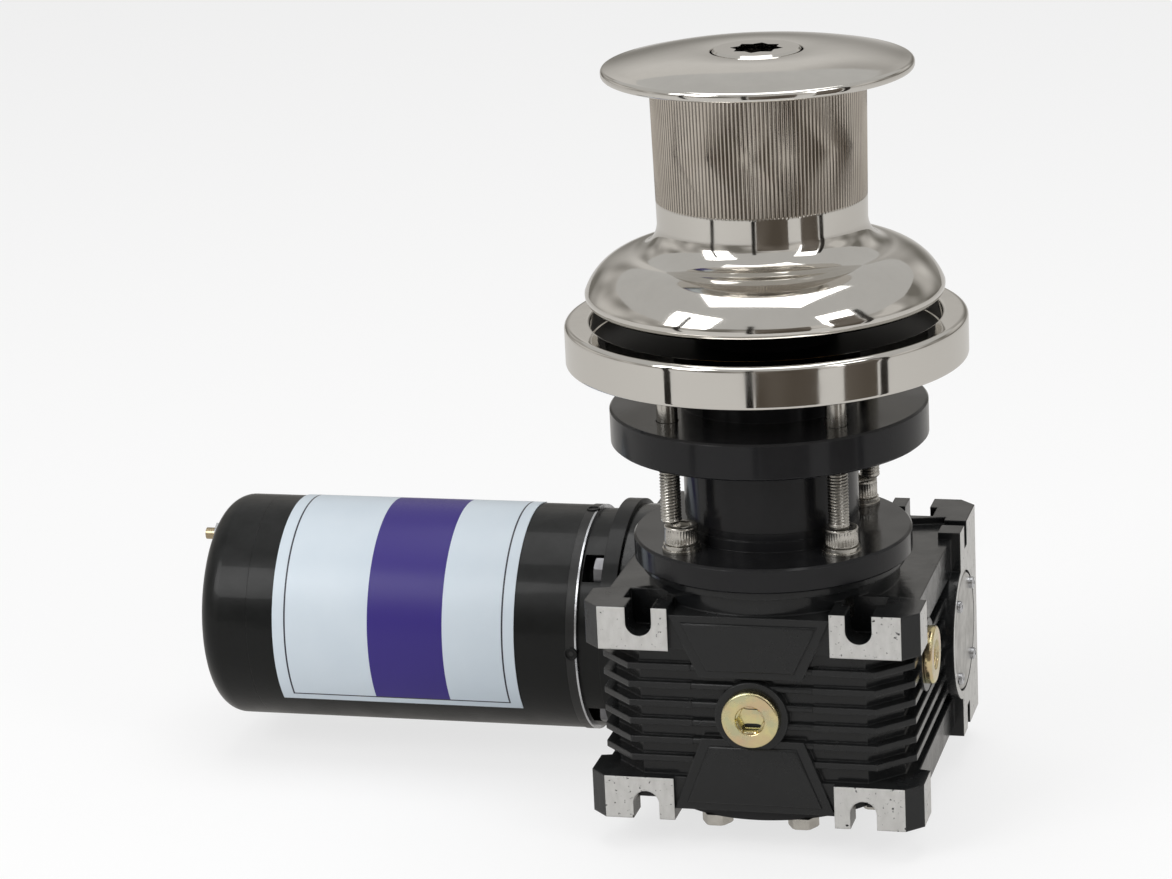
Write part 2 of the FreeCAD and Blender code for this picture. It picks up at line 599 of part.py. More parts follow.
def make_housing():
    mid_y = (FRONT_Y + REAR_Y) / 2.0
    front, rear = FRONT_Y + CORE_INSET, REAR_Y - CORE_INSET
    body = [block(CORE_X, front, rear, CORE_CHAMFER, BOX_BOTTOM, BOX_TOP)]
    plate_f, plate_r = FRONT_Y + PLATE_INSET, REAR_Y - PLATE_INSET
    up_z, low_z = PAD_TOP - PAD_H, PAD_BOTTOM + PAD_H
    body.append(block(PLATE_X, plate_f, plate_r, PLATE_CHAMFER, up_z, BOX_TOP))
    body.append(block(PLATE_X, plate_f, plate_r, PLATE_CHAMFER, BOX_BOTTOM, low_z))
    for i in range(FIN_COUNT):
        z = GEAR_Z + (i - (FIN_COUNT - 1) / 2.0) * FIN_PITCH
        fin = block(PLATE_X, plate_f, plate_r, PLATE_CHAMFER, z - FIN_T / 2.0, z + FIN_T / 2.0)
        body.append(fin.cut(box(-FIN_CLEAR_X, FIN_CLEAR_X, plate_f - 1, front, z - FIN_T, z + FIN_T)))
    for z0, z1 in ((up_z, PAD_TOP), (PAD_BOTTOM, low_z)):
        body += mirrored(corner_pad(z0, z1), mid_y)
    side_rear = REAR_Y - (SIDE_X - PAD_OUT_X)
    body.append(box(-SIDE_X, -CORE_X, REAR_Y - SIDE_PAD_W, side_rear, PAD_BOTTOM, PAD_TOP))
    body.append(box(CORE_X, SIDE_X, FLANK_FRONT_Y, side_rear, PAD_BOTTOM, PAD_TOP))
    body.append(xcyl(FLANK_R, CORE_X, SIDE_X))
    body.append(front_trapezoid(BOX_TOP, TRAP_UP_Z))
    body.append(front_trapezoid(BOX_BOTTOM, TRAP_LOW_Z))
    boss_face = FRONT_Y + TRAP_INSET - PLUG_BOSS_PROUD
    body.append(Part.makeCylinder(PLUG_BOSS_R, front - boss_face + 2, V(0, boss_face, GEAR_Z), Y_AXIS))
    body.append(zcyl(HUB_R, BOX_TOP, SPOOL_BOTTOM - TOP_HUB_STEP_H))
    body.append(zcyl(TOP_HUB_STEP_R + 8.0, SPOOL_BOTTOM - TOP_HUB_STEP_H, SPOOL_BOTTOM))
    body.append(xcyl(NECK_R_OUT, NECK_END_X, -CORE_X))
    body.append(xcyl(END_COVER_R + 4.0, CORE_X - 1, PLATE_X))
    boss_x = SIDE_X - 4.0
    body.append(Part.makeCylinder(PLUG_BOSS_R, boss_x - CORE_X + 1, V(CORE_X - 1, SIDE_PLUG_Y, SIDE_PLUG_Z),
                                  X_AXIS))
    housing = union(body)
    cavity_r = WHEEL_TIP_R + WHEEL_SPACE
    half = WHEEL_HUB_LEN / 2.0 + WHEEL_SPACE_Z
    cuts = [zcyl(cavity_r, GEAR_Z - half, GEAR_Z + half),
            zcyl(COVER_R + HOLE_CLEAR, PAD_BOTTOM - 1, BOX_BOTTOM),
            xcyl(END_COVER_R + HOLE_CLEAR, PLATE_X, SIDE_X + 1),
            zcyl(COVER_SPIGOT_R, BOX_BOTTOM - 1, GEAR_Z - half + 1),
            zcyl(BEARING_R, UP_BEARING_TOP - BEARING_H, SPOOL_BOTTOM + 1),
            zcyl(SPACER_R + 3.0, GEAR_Z + half - 1, UP_BEARING_TOP - BEARING_H + 1),
            xcyl(WORM_BORE_R, NECK_END_X - 1, WORM_BEARING_X[1]),
            xcyl(WORM_BEARING_R, WORM_BEARING_X[1] - 1, PLATE_X + 1)]
    for upper in (True, False):
        cuts += mirrored(foot_slot(upper), mid_y)
    half = FLANK_SLOT_W / 2.0
    for z0, z1 in ((PAD_TOP - FLANK_SLOT_DEPTH, PAD_TOP + 1), (PAD_BOTTOM - 1, PAD_BOTTOM + FLANK_SLOT_DEPTH)):
        cuts.append(box(CORE_X, SIDE_X + 1, FLANK_SLOT_Y - half, FLANK_SLOT_Y + half, z0, z1))
    for x, y in screw_places():
        cuts.append(zcyl(SCREW_R, SPOOL_BOTTOM - SCREW_IN_BOX, SPOOL_BOTTOM + 1, x, y))
    for a in cover_bolt_angles():
        cuts.append(zcyl(BOLT_R, BOX_BOTTOM - 1, COVER_BOTTOM + BOLT_LEN, *polar(COVER_BOLT_PCD_R, a)[:2]))
    for a in range(45, 360, 90):
        bolt = xcyl(BOLT_R, NECK_END_X - 1, NECK_END_X + MOTOR_BOLT_LEN, *worm_polar(MOTOR_BOLT_PCD_R, a, 0)[1:])
        cuts.append(bolt)
        screw = worm_polar(END_COVER_PCD_R, a, 0)[1:]
        cuts.append(xcyl(END_COVER_SCREW_R, PLATE_X - 8.0, PLATE_X + 1, *screw))
    cuts.append(Part.makeCylinder(PLUG_NECK_R, 60.0, V(0, FRONT_Y - 5, GEAR_Z), Y_AXIS).common(
        box(-50, 50, FRONT_Y - 5, boss_face + PLUG_NECK_LEN, GEAR_Z - 30, GEAR_Z + 30)))
    cuts.append(Part.makeCylinder(PLUG_NECK_R, PLUG_NECK_LEN + 1,
                                  V(boss_x - PLUG_NECK_LEN, SIDE_PLUG_Y, SIDE_PLUG_Z), X_AXIS))
    return housing.cut(Part.makeCompound(cuts)).removeSplitter()


def cover_bolt_angles():
    step = 360.0 / COVER_BOLTS
    return [step * (i + 0.5) for i in range(COVER_BOLTS)]


def make_bottom_cover():
    bearing_top = LOW_BEARING_TOP
    seat = bearing_top - BEARING_H
    cover = turned([(0, COVER_HUB_BOTTOM), (COVER_HUB_R - 2, COVER_HUB_BOTTOM),
                    (COVER_HUB_R, COVER_HUB_BOTTOM + 2), (COVER_HUB_R, COVER_BOTTOM - 6.0),
                    (COVER_R - 16.0, COVER_BOTTOM - 6.0), (COVER_R - 16.0, COVER_BOTTOM),
                    (COVER_R, COVER_BOTTOM), (COVER_R, BOX_BOTTOM),
                    (COVER_SPIGOT_R, BOX_BOTTOM), (COVER_SPIGOT_R, bearing_top),
                    (BEARING_R, bearing_top), (BEARING_R, seat), (SHAFT_R + 2.0, seat),
                    (SHAFT_R + 2.0, COVER_HUB_BOTTOM + SHAFT_END_FLOOR),
                    (0, COVER_HUB_BOTTOM + SHAFT_END_FLOOR)])
    return cover.cut(Part.makeCompound([zcyl(BOLT_R, COVER_BOTTOM - 1, BOX_BOTTOM + 1,
                                             *polar(COVER_BOLT_PCD_R, a)[:2])
                                        for a in cover_bolt_angles()]))


def make_plug():
    """Oil plug with a round head and a hexagon socket, its head standing on z 0."""
    head = turned([(0, 0), (PLUG_R, 0), (PLUG_R, PLUG_HEAD_H - 1.2), (PLUG_R - 1.2, PLUG_HEAD_H),
                   (0, PLUG_HEAD_H)])
    socket = moved(hex_prism(PLUG_HEX, PLUG_HEX_DEPTH + 1), (0, 0, PLUG_HEAD_H - PLUG_HEX_DEPTH))
    return head.fuse(zcyl(PLUG_NECK_R, -PLUG_NECK_LEN, 0)).cut(socket).removeSplitter()


node("gearbox_housing", make_housing())
node("bottom_cover", make_bottom_cover())
COVER_BOLT = moved(hex_bolt(BOLT_R, BOLT_AF, BOLT_HEAD_H, BOLT_LEN), (0, 0, 0), 180.0, X_AXIS)
node("bottom_cover_bolts", *[moved(COVER_BOLT, polar(COVER_BOLT_PCD_R, a, COVER_BOTTOM))
                             for a in cover_bolt_angles()])
PLUG = make_plug()
node("oil_plugs",
     moved(PLUG, (0, FRONT_Y + TRAP_INSET - PLUG_BOSS_PROUD, GEAR_Z), 90.0, X_AXIS),
     facing_x(PLUG, (SIDE_X - 4.0, SIDE_PLUG_Y, SIDE_PLUG_Z)))


# ---------------------------------------------------------------- worm end cover
def make_end_cover():
    spigot_x = WORM_BEARING_X[1] + WORM_BEARING_W
    cover = turned_x([(spigot_x, 0), (spigot_x, WORM_BEARING_R), (PLATE_X, WORM_BEARING_R),
                      (PLATE_X, END_COVER_R), (PLATE_X + END_COVER_T - 1, END_COVER_R),
                      (PLATE_X + END_COVER_T, END_COVER_R - 1), (PLATE_X + END_COVER_T, 0)])
    cover = cover.cut(xcyl(WORM_SHAFT_R + 2.0, spigot_x - 1, spigot_x + 6.0))
    return cover.cut(Part.makeCompound([xcyl(END_COVER_SCREW_R, PLATE_X - 1, PLATE_X + END_COVER_T + 1,
                                             *worm_polar(END_COVER_PCD_R, a, 0)[1:])
                                        for a in range(45, 360, 90)]))


node("worm_end_cover", make_end_cover())
SMALL_SCREW = cap_screw(END_COVER_SCREW_R, END_COVER_SCREW_R * 1.2, 2.2, 2.5, END_COVER_T + 8.0)
node("worm_end_cover_screws", *[facing_x(SMALL_SCREW, worm_polar(END_COVER_PCD_R, a, PLATE_X + END_COVER_T))
                                for a in range(45, 360, 90)])


# ---------------------------------------------------------------- worm gear
def make_wheel_rim():
    rim = ztube(WHEEL_TIP_R, RIM_IN_R, GEAR_Z - WHEEL_W / 2.0, GEAR_Z + WHEEL_W / 2.0)
    skew = PITCH / (2.0 * math.pi * WORM_R)
    span = WHEEL_W + 4.0
    half = (PITCH / 2.0 + TOOTH_PLAY) / 2.0
    low_r, top_r = WHEEL_ROOT_R, WHEEL_TIP_R + 1.0
    low_w = half - (WHEEL_R - low_r) * PRESSURE
    top_w = half + (top_r - WHEEL_R) * PRESSURE
    shift = skew * span / 2.0
    z0 = GEAR_Z - span / 2.0
    wire = Part.makePolygon([V(x + shift, y, z0) for x, y in (
        (-low_w, low_r), (low_w, low_r), (top_w, top_r), (-top_w, top_r), (-low_w, low_r))])
    gap = Part.Face(wire).extrude(V(-skew * span, 0, span))
    gaps = [moved(gap, (0, 0, 0), 360.0 * i / WHEEL_TEETH) for i in range(WHEEL_TEETH)]
    return rim.cut(Part.makeCompound(gaps))


def make_worm():
    """Single-start right-hand thread on a stepped shaft, built along Z and laid along X."""
    half = (PITCH / 2.0 - TOOTH_PLAY) / 2.0
    root_w = half + (WORM_R - WORM_ROOT_R + 0.4) * PRESSURE
    tip_w = half - (WORM_TIP_R - WORM_R) * PRESSURE
    root = WORM_ROOT_R - 0.4
    helix = Part.makeHelix(PITCH, PITCH * WORM_TURNS, WORM_ROOT_R)
    profile = Part.makePolygon([V(root, 0, -root_w), V(WORM_TIP_R, 0, -tip_w), V(WORM_TIP_R, 0, tip_w),
                                V(root, 0, root_w), V(root, 0, -root_w)])
    thread = Part.Wire(helix.Edges).makePipeShell([profile], True, True)
    start = -PITCH * (WORM_TURNS // 2 + 0.75)
    core_half = PITCH * (WORM_TURNS / 2.0 + 1.0)
    core = zcyl(WORM_ROOT_R, -core_half, core_half)
    shaft = zcyl(WORM_SHAFT_R, WORM_END_X + 1.0, WORM_BEARING_X[1] + WORM_BEARING_W + 2.0)
    thread.translate(V(0, 0, start))
    return moved(core.fuse(thread).fuse(shaft), (0, WORM_Y, GEAR_Z), 90.0, Y_AXIS)


half_hub = WHEEL_HUB_LEN / 2.0
node("worm_wheel_rim", make_wheel_rim())
node("worm_wheel_hub", ztube(RIM_IN_R, SHAFT_R, GEAR_Z - half_hub, GEAR_Z + half_hub).cut(wheel_key_slot()))
node("worm_wheel_key", wheel_key_slot())
node("worm", make_worm())
node("wheel_spacers",
     ztube(SPACER_R, SHAFT_R, GEAR_Z + half_hub, UP_BEARING_TOP - BEARING_H),
     ztube(SPACER_R, SHAFT_R, LOW_BEARING_TOP, GEAR_Z - half_hub))
node("main_bearing_outer_rings",
     *[ztube(BEARING_R, BEARING_SPLIT_R + RUN_CLEAR, z - BEARING_H, z) for z in (UP_BEARING_TOP, LOW_BEARING_TOP)])
node("main_bearing_inner_rings",
     *[ztube(BEARING_SPLIT_R, SHAFT_R, z - BEARING_H, z) for z in (UP_BEARING_TOP, LOW_BEARING_TOP)])
node("worm_bearing_outer_rings",
     *[xtube(WORM_BEARING_R, WORM_BEARING_SPLIT_R + RUN_CLEAR, x, x + WORM_BEARING_W) for x in WORM_BEARING_X])
node("worm_bearing_inner_rings",
     *[xtube(WORM_BEARING_SPLIT_R, WORM_SHAFT_R, x, x + WORM_BEARING_W) for x in WORM_BEARING_X])
node("worm_bearing_carrier",
     xtube(WORM_BORE_R, WORM_BEARING_R, WORM_BEARING_X[0] - 2.0, WORM_BEARING_X[0] + WORM_BEARING_W))


# ---------------------------------------------------------------- motor
def tie_places():
    return [worm_polar(TIE_PCD_R, a, 0)[1:] for a in TIE_ANGLES]


def make_front_cap():
    flange_x = NECK_END_X - MOTOR_FLANGE_T
    ring_end = CAP_SEAM_X + SEAM_RING_W
    inner_x = CAP_SEAM_X - CAP_BOSS_LEN
    cap = union([xcyl(CASING_IN_R, inner_x, ring_end), xcyl(CAP_BODY_R, ring_end, flange_x),
                 xcyl(MOTOR_FLANGE_R, flange_x, NECK_END_X)])
    bearing_end = ARM_BEARING_X[0] + ARM_BEARING_W
    cuts = [xcyl(ARM_BEARING_R, inner_x - 1, bearing_end),
            xcyl(SLEEVE_R + 4.0, bearing_end - 1, NECK_END_X + 1)]
    for a in range(45, 360, 90):
        y, z = worm_polar(MOTOR_BOLT_PCD_R, a, 0)[1:]
        cuts.append(xcyl(BOLT_R, flange_x - 1, NECK_END_X + 1, y, z))
        cuts.append(xcyl(BOLT_SPACE_R, ring_end + 1.0, flange_x, y, z))
    for y, z in tie_places():
        cuts.append(xcyl(TIE_BOLT_R, inner_x - 1, ring_end, y, z))
    return cap.cut(Part.makeCompound(cuts)).removeSplitter()


def make_rear_cap():
    body = xcyl(MOTOR_R, MOTOR_END_X, CASING_END_X)
    rim = [e for e in body.Edges if e.BoundBox.XMax < MOTOR_END_X + 1e-6]
    cap = body.makeFillet(REAR_ROUND, rim)
    seat_x = ARM_BEARING_X[1]
    cuts = [xcyl(ARM_BEARING_R, seat_x, CASING_END_X + 1),
            xcyl(ARM_SHAFT_R + 2.0, seat_x - SHAFT_TAIL - 1.0, seat_x + 1),
            xcyl(CASING_IN_R - 4.0, CASING_END_X - 6.0, CASING_END_X + 1)]
    for y, z in tie_places():
        cuts.append(xcyl(TIE_BOLT_R, MOTOR_END_X - 1, CASING_END_X + 1, y, z))
        cuts.append(xcyl(TIE_NOTCH_R, MOTOR_END_X - 1, MOTOR_END_X + TIE_NOTCH_D, y, z))
    for a in TERM_ANGLES:
        y, z = worm_polar(TERM_PCD_R, a, 0)[1:]
        cuts.append(xcyl(TERM_SHANK_R, MOTOR_END_X - 1, CASING_END_X - 5.0, y, z))
    return cap.cut(Part.makeCompound(cuts)).removeSplitter()


def make_magnets():
    full = xtube(CASING_IN_R, MAGNET_IN_R, *MAGNET_X)
    half = math.tan(math.radians(MAGNET_SPAN / 2.0)) * (MOTOR_R + 10)
    wedge = Part.Face(Part.makePolygon([V(MAGNET_X[0], WORM_Y, GEAR_Z),
                                        V(MAGNET_X[0], WORM_Y - MOTOR_R - 10, GEAR_Z - half),
                                        V(MAGNET_X[0], WORM_Y - MOTOR_R - 10, GEAR_Z + half),
                                        V(MAGNET_X[0], WORM_Y, GEAR_Z)])).extrude(
        V(MAGNET_X[1] - MAGNET_X[0], 0, 0))
    out = []
    for i in range(4):
        turned_wedge = wedge.copy()
        turned_wedge.rotate(V(0, WORM_Y, GEAR_Z), X_AXIS, -MAGNET_TURN - 90.0 * i)
        out.append(full.common(turned_wedge))
    return out


def make_label():
    """Thin plate wrapped round the front of the casing."""
    a0, a1 = LABEL_ANGLES
    mid = (a0 + a1) / 2.0
    low = MOTOR_R + LABEL_GLUE
    r = low + LABEL_T

    def at(radius, angle):
        return V(*worm_polar(radius, angle, LABEL_X[0]))

    outer = Part.Arc(at(r, a0), at(r, mid), at(r, a1)).toShape()
    inner = Part.Arc(at(low, a1), at(low, mid), at(low, a0)).toShape()
    ends = [Part.makeLine(at(r, a1), at(low, a1)), Part.makeLine(at(low, a0), at(r, a0))]
    face = Part.Face(Part.Wire([outer, ends[0], inner, ends[1]]))
    return face.extrude(V(LABEL_X[1] - LABEL_X[0], 0, 0))


node("motor_front_cap", make_front_cap())
node("motor_seam_ring", xtube(MOTOR_R + SEAM_RING_PROUD, CASING_IN_R, CAP_SEAM_X, CAP_SEAM_X + SEAM_RING_W))
node("motor_casing", xtube(MOTOR_R, CASING_IN_R, CASING_END_X, CAP_SEAM_X))
node("motor_rear_cap", make_rear_cap())
node("motor_label", make_label())
MOTOR_BOLT = hex_bolt(BOLT_R, BOLT_AF, BOLT_HEAD_H, MOTOR_FLANGE_T + MOTOR_BOLT_LEN)
node("motor_flange_bolts",
     *[facing_x(MOTOR_BOLT, worm_polar(MOTOR_BOLT_PCD_R, a, NECK_END_X - MOTOR_FLANGE_T), -1)
       for a in range(45, 360, 90)])
TIE_SEAT = MOTOR_END_X + TIE_NOTCH_D
TIE_LEN = CAP_SEAM_X + SEAM_RING_W - TIE_SEAT
TIE_BOLT = zcyl(TIE_HEAD_R, 0, TIE_HEAD_H).fuse(zcyl(TIE_BOLT_R, -TIE_LEN, 0)).removeSplitter()
node("motor_tie_bolts", *[facing_x(TIE_BOLT, (TIE_SEAT, y, z), -1) for y, z in tie_places()])
node("motor_magnets", *make_magnets())
node("armature_shaft", xcyl(ARM_SHAFT_R, ARM_BEARING_X[1] - SHAFT_TAIL, WORM_END_X))
node("armature_core", xtube(ARM_R, ARM_SHAFT_R, ARM_MID_X - ARM_CORE_LEN / 2.0, ARM_MID_X + ARM_CORE_LEN / 2.0))
node("armature_windings",
     xtube(WINDING_R, ARM_SHAFT_R, ARM_MID_X - ARM_CORE_LEN / 2.0 - WINDING_LEN, ARM_MID_X - ARM_CORE_LEN / 2.0),
     xtube(WINDING_R, ARM_SHAFT_R, ARM_MID_X + ARM_CORE_LEN / 2.0, ARM_MID_X + ARM_CORE_LEN / 2.0 + WINDING_LEN))
COMM_X1 = ARM_MID_X - ARM_CORE_LEN / 2.0 - WINDING_LEN
node("commutator", xtube(COMM_R, ARM_SHAFT_R, COMM_X1 - COMM_LEN, COMM_X1))
BRUSH_HOLES = [xcyl(TIE_BOLT_R, CASING_END_X - 1, CASING_END_X + BRUSH_RING_LEN + 1, y, z)
               for y, z in tie_places()]
node("brush_ring", xtube(CASING_IN_R, BRUSH_RING_R, CASING_END_X, CASING_END_X + BRUSH_RING_LEN).cut(
    Part.makeCompound(BRUSH_HOLES)))
BRUSH_OUT = math.sqrt(BRUSH_RING_R ** 2 - (BRUSH_W / 2.0) ** 2)
BRUSH = Part.makeBox(BRUSH_W, BRUSH_OUT - COMM_R - SEAT_GAP, BRUSH_W,
                     V(CASING_END_X + 2.0, COMM_R + SEAT_GAP, -BRUSH_W / 2.0))
node("brushes", *[moved(moved(BRUSH, (0, 0, 0), a, X_AXIS), (0, WORM_Y, GEAR_Z)) for a in range(45, 360, 90)])
node("motor_bearing_outer_rings",
     *[xtube(ARM_BEARING_R, ARM_BEARING_SPLIT_R + RUN_CLEAR, x, x + ARM_BEARING_W) for x in ARM_BEARING_X])
node("motor_bearing_inner_rings",
     *[xtube(ARM_BEARING_SPLIT_R, ARM_SHAFT_R, x, x + ARM_BEARING_W) for x in ARM_BEARING_X])
SLEEVE_MID = WORM_END_X
node("coupling_sleeve",
     xcyl(SLEEVE_R, SLEEVE_MID - SLEEVE_LEN / 2.0, SLEEVE_MID + SLEEVE_LEN / 2.0).cut(
         xcyl(ARM_SHAFT_R, SLEEVE_MID - SLEEVE_LEN, WORM_END_X)).cut(
         xcyl(WORM_SHAFT_R, WORM_END_X, SLEEVE_MID + SLEEVE_LEN)))
TERMINALS = [worm_polar(TERM_PCD_R, a, MOTOR_END_X) for a in TERM_ANGLES]
TERM_NUT_TOP = TERM_INSULATOR_H + TERM_NUT_H
TERM_STUD = zcyl(TERM_SHANK_R, -15.0, TERM_NUT_TOP).fuse(zcyl(TERM_R, TERM_NUT_TOP, TERM_OUT))
node("terminal_studs", *[facing_x(TERM_STUD, p, -1) for p in TERMINALS])
node("terminal_insulators",
     *[facing_x(ztube(TERM_INSULATOR_R, TERM_SHANK_R, 0, TERM_INSULATOR_H), p, -1) for p in TERMINALS])
TERM_NUT = hex_prism(TERM_NUT_AF, TERM_NUT_H).cut(zcyl(TERM_SHANK_R, -1, TERM_NUT_H + 1))
node("terminal_nuts", *[facing_x(moved(TERM_NUT, (0, 0, TERM_INSULATOR_H)), p, -1) for p in TERMINALS])

# ---------------------------------------------------------------- export
os.makedirs("parts", exist_ok=True)
for name, shape in NODES.items():
    if not shape.isValid():
        print("invalid shape:", name)
    shape.exportStep("parts/" + name + ".step")
print(len(NODES), "nodes")
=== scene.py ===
"""Deck capstan: polished drum and ring, black gearbox and motor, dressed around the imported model."""
import math

import bmesh
import bpy
from mathutils import Euler, Matrix, Vector


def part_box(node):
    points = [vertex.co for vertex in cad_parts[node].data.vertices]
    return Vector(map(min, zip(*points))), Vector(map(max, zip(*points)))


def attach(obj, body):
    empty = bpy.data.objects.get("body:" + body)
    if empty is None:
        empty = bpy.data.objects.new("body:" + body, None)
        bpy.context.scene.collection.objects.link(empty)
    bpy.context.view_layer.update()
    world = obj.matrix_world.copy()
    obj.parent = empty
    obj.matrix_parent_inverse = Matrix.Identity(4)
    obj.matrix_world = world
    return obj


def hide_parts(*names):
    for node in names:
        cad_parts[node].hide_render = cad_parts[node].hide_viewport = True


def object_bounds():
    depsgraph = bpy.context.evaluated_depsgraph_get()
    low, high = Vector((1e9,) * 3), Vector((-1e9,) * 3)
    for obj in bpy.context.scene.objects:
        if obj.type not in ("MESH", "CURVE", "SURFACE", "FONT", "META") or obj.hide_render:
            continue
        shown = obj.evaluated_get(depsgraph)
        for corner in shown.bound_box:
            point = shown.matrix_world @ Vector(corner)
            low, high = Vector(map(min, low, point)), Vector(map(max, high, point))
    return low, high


MM = 0.001
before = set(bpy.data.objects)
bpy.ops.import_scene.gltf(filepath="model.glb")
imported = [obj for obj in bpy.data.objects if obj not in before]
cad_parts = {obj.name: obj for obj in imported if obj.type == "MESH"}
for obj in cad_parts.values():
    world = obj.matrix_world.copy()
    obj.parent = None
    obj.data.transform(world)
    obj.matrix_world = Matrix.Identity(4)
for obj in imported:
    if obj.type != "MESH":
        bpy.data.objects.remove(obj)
cad_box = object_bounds()


# ---------- shared sizes, millimetres unless said
FRONT_Y, REAR_Y, SIDE_X = -64.0, 116.0, 80.0    # machined faces of the gearbox's feet
GEAR_Z = -159.5                                 # height of the worm's axis
FLUTES, FLUTE_DEPTH = 165, 0.45
FLUTE_LOW, FLUTE_HIGH = 77.0, 133.0
NECK_LOW_R, NECK_HIGH_R, NECK_LOW_Z, NECK_HIGH_Z = 49.3, 50.5, 66.0, 134.0
NECK_SLOPE = (NECK_HIGH_R - NECK_LOW_R) / (NECK_HIGH_Z - NECK_LOW_Z)

casing_low, casing_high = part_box("motor_casing")
MOTOR_R = (casing_high.z - casing_low.z) / 2 / MM
MOTOR_CENTRE = ((casing_low.y + casing_high.y) / 2, (casing_low.z + casing_high.z) / 2)     # Y, Z, metres
FACING_FRONT, FACING_SIDE = (math.pi / 2, 0, 0), (0, math.pi / 2, 0)    # turns of a piece made about Z
MOTOR_AXIS = {"centre": (0, *MOTOR_CENTRE), "turn": FACING_SIDE}


def neck_r(z):
    """Radius of the drum's slightly tapered neck at a height."""
    return NECK_LOW_R + NECK_SLOPE * (z - NECK_LOW_Z)


def placed(name, data):
    """New object with this data, in the scene."""
    thing = bpy.data.objects.new(name, data)
    bpy.context.scene.collection.objects.link(thing)
    return thing


# ---------- node helpers
class Nodes:
    """Adds nodes to a tree from left to right and links their sockets."""

    def __init__(self, tree):
        self.tree = tree
        self.column = 0

    def add(self, kind, settings=None, **inputs):
        """Node with some settings; inputs go by name, or by place as i0, i1 and so on."""
        node = self.tree.nodes.new(kind)
        self.column += 1
        node.location = (self.column * 180, -(self.column % 4) * 160)
        for key, value in (settings or {}).items():
            setattr(node, key, value)
        for key, value in inputs.items():
            self.feed(node.inputs[int(key[1:])] if key[0] == "i" and key[1:].isdigit()
                      else node.inputs[key.replace("_", " ")], value)
        return node

    def feed(self, socket, value):
        if isinstance(value, bpy.types.NodeSocket):
            self.tree.links.new(value, socket)
        elif isinstance(value, bpy.types.Node):
            self.tree.links.new(value.outputs[0], socket)
        else:
            socket.default_value = value

    def math(self, operation, a, b=0.0, c=0.0):
        return self.add("ShaderNodeMath", {"operation": operation}, i0=a, i1=b, i2=c).outputs[0]

    def times(self, a, b):
        return self.math("MULTIPLY", a, b)

    def minus(self, a, b):
        return self.math("SUBTRACT", a, b)

    def dot(self, a, b):
        node = self.add("ShaderNodeVectorMath", {"operation": "DOT_PRODUCT"}, i0=a, i1=b)
        return node.outputs["Value"]

    def radius(self, x, y):
        """Distance from the Z axis."""
        flat = self.add("ShaderNodeCombineXYZ", X=x, Y=y)
        return self.add("ShaderNodeVectorMath", {"operation": "LENGTH"}, i0=flat).outputs["Value"]

    def span(self, value, low, high):
        """0 at low, 1 at high, straight between."""
        return self.add("ShaderNodeMapRange", i0=value, i1=low, i2=high).outputs[0]

    def inside(self, value, low, high):
        """1 between low and high, otherwise 0."""
        return self.times(self.math("GREATER_THAN", value, low), self.math("LESS_THAN", value, high))

    def here(self):
        """Place of the point on the piece."""
        return self.add("ShaderNodeTexCoord").outputs["Object"]

    def spot(self):
        """X, Y and Z of the point on the piece."""
        return self.add("ShaderNodeSeparateXYZ", Vector=self.here()).outputs

    def noise(self, at, scale, detail, **more):
        """Smooth random height, about 0.5."""
        return self.add("ShaderNodeTexNoise", Vector=at, Scale=scale, Detail=detail, **more).outputs[0]

    def blend(self, factor, a, b):
        """Colour a at 0, b at 1."""
        node = self.add("ShaderNodeMix", {"data_type": "RGBA"})
        self.feed(node.inputs[0], factor)
        self.feed(node.inputs[6], a)
        self.feed(node.inputs[7], b)
        return node.outputs[2]

    def between(self, factor, a, b):
        """Number a at 0, b at 1."""
        node = self.add("ShaderNodeMix", {"data_type": "FLOAT"})
        self.feed(node.inputs[0], factor)
        self.feed(node.inputs[2], a)
        self.feed(node.inputs[3], b)
        return node.outputs[0]


def new_group(kind, name, inputs, outputs):
    """Empty node group with named sockets; inputs are (name, type, default)."""
    tree = bpy.data.node_groups.new(name, kind)
    for label, socket_type, default in inputs:
        socket = tree.interface.new_socket(label, in_out="INPUT", socket_type=socket_type)
        if default is not None:
            socket.default_value = default
    for label, socket_type in outputs:
        tree.interface.new_socket(label, in_out="OUTPUT", socket_type=socket_type)
    lay = Nodes(tree)
    return tree, lay, lay.add("NodeGroupInput").outputs, lay.add("NodeGroupOutput").inputs


FLOAT, INT, VECTOR = "NodeSocketFloat", "NodeSocketInt", "NodeSocketVector"
GEOMETRY, MATERIAL = "NodeSocketGeometry", "NodeSocketMaterial"


# ---------- shader effects
def make_grain():
    """Fine unevenness: a height and a mask from noise, stretched along any axis."""
    tree, n, gi, go = new_group("ShaderNodeTree", "grain", [
        ("Scale", FLOAT, 400.0), ("Stretch", VECTOR, (1.0, 1.0, 1.0)), ("Detail", FLOAT, 4.0),
        ("Low", FLOAT, 0.4), ("High", FLOAT, 0.6)], [("Height", FLOAT), ("Mask", FLOAT)])
    mapped = n.add("ShaderNodeMapping", Vector=n.here(), Scale=gi["Stretch"])
    noise = n.noise(mapped, gi["Scale"], gi["Detail"], Roughness=0.55)
    n.feed(go["Height"], noise)
    n.feed(go["Mask"], n.span(noise, gi["Low"], gi["High"]))
    return tree


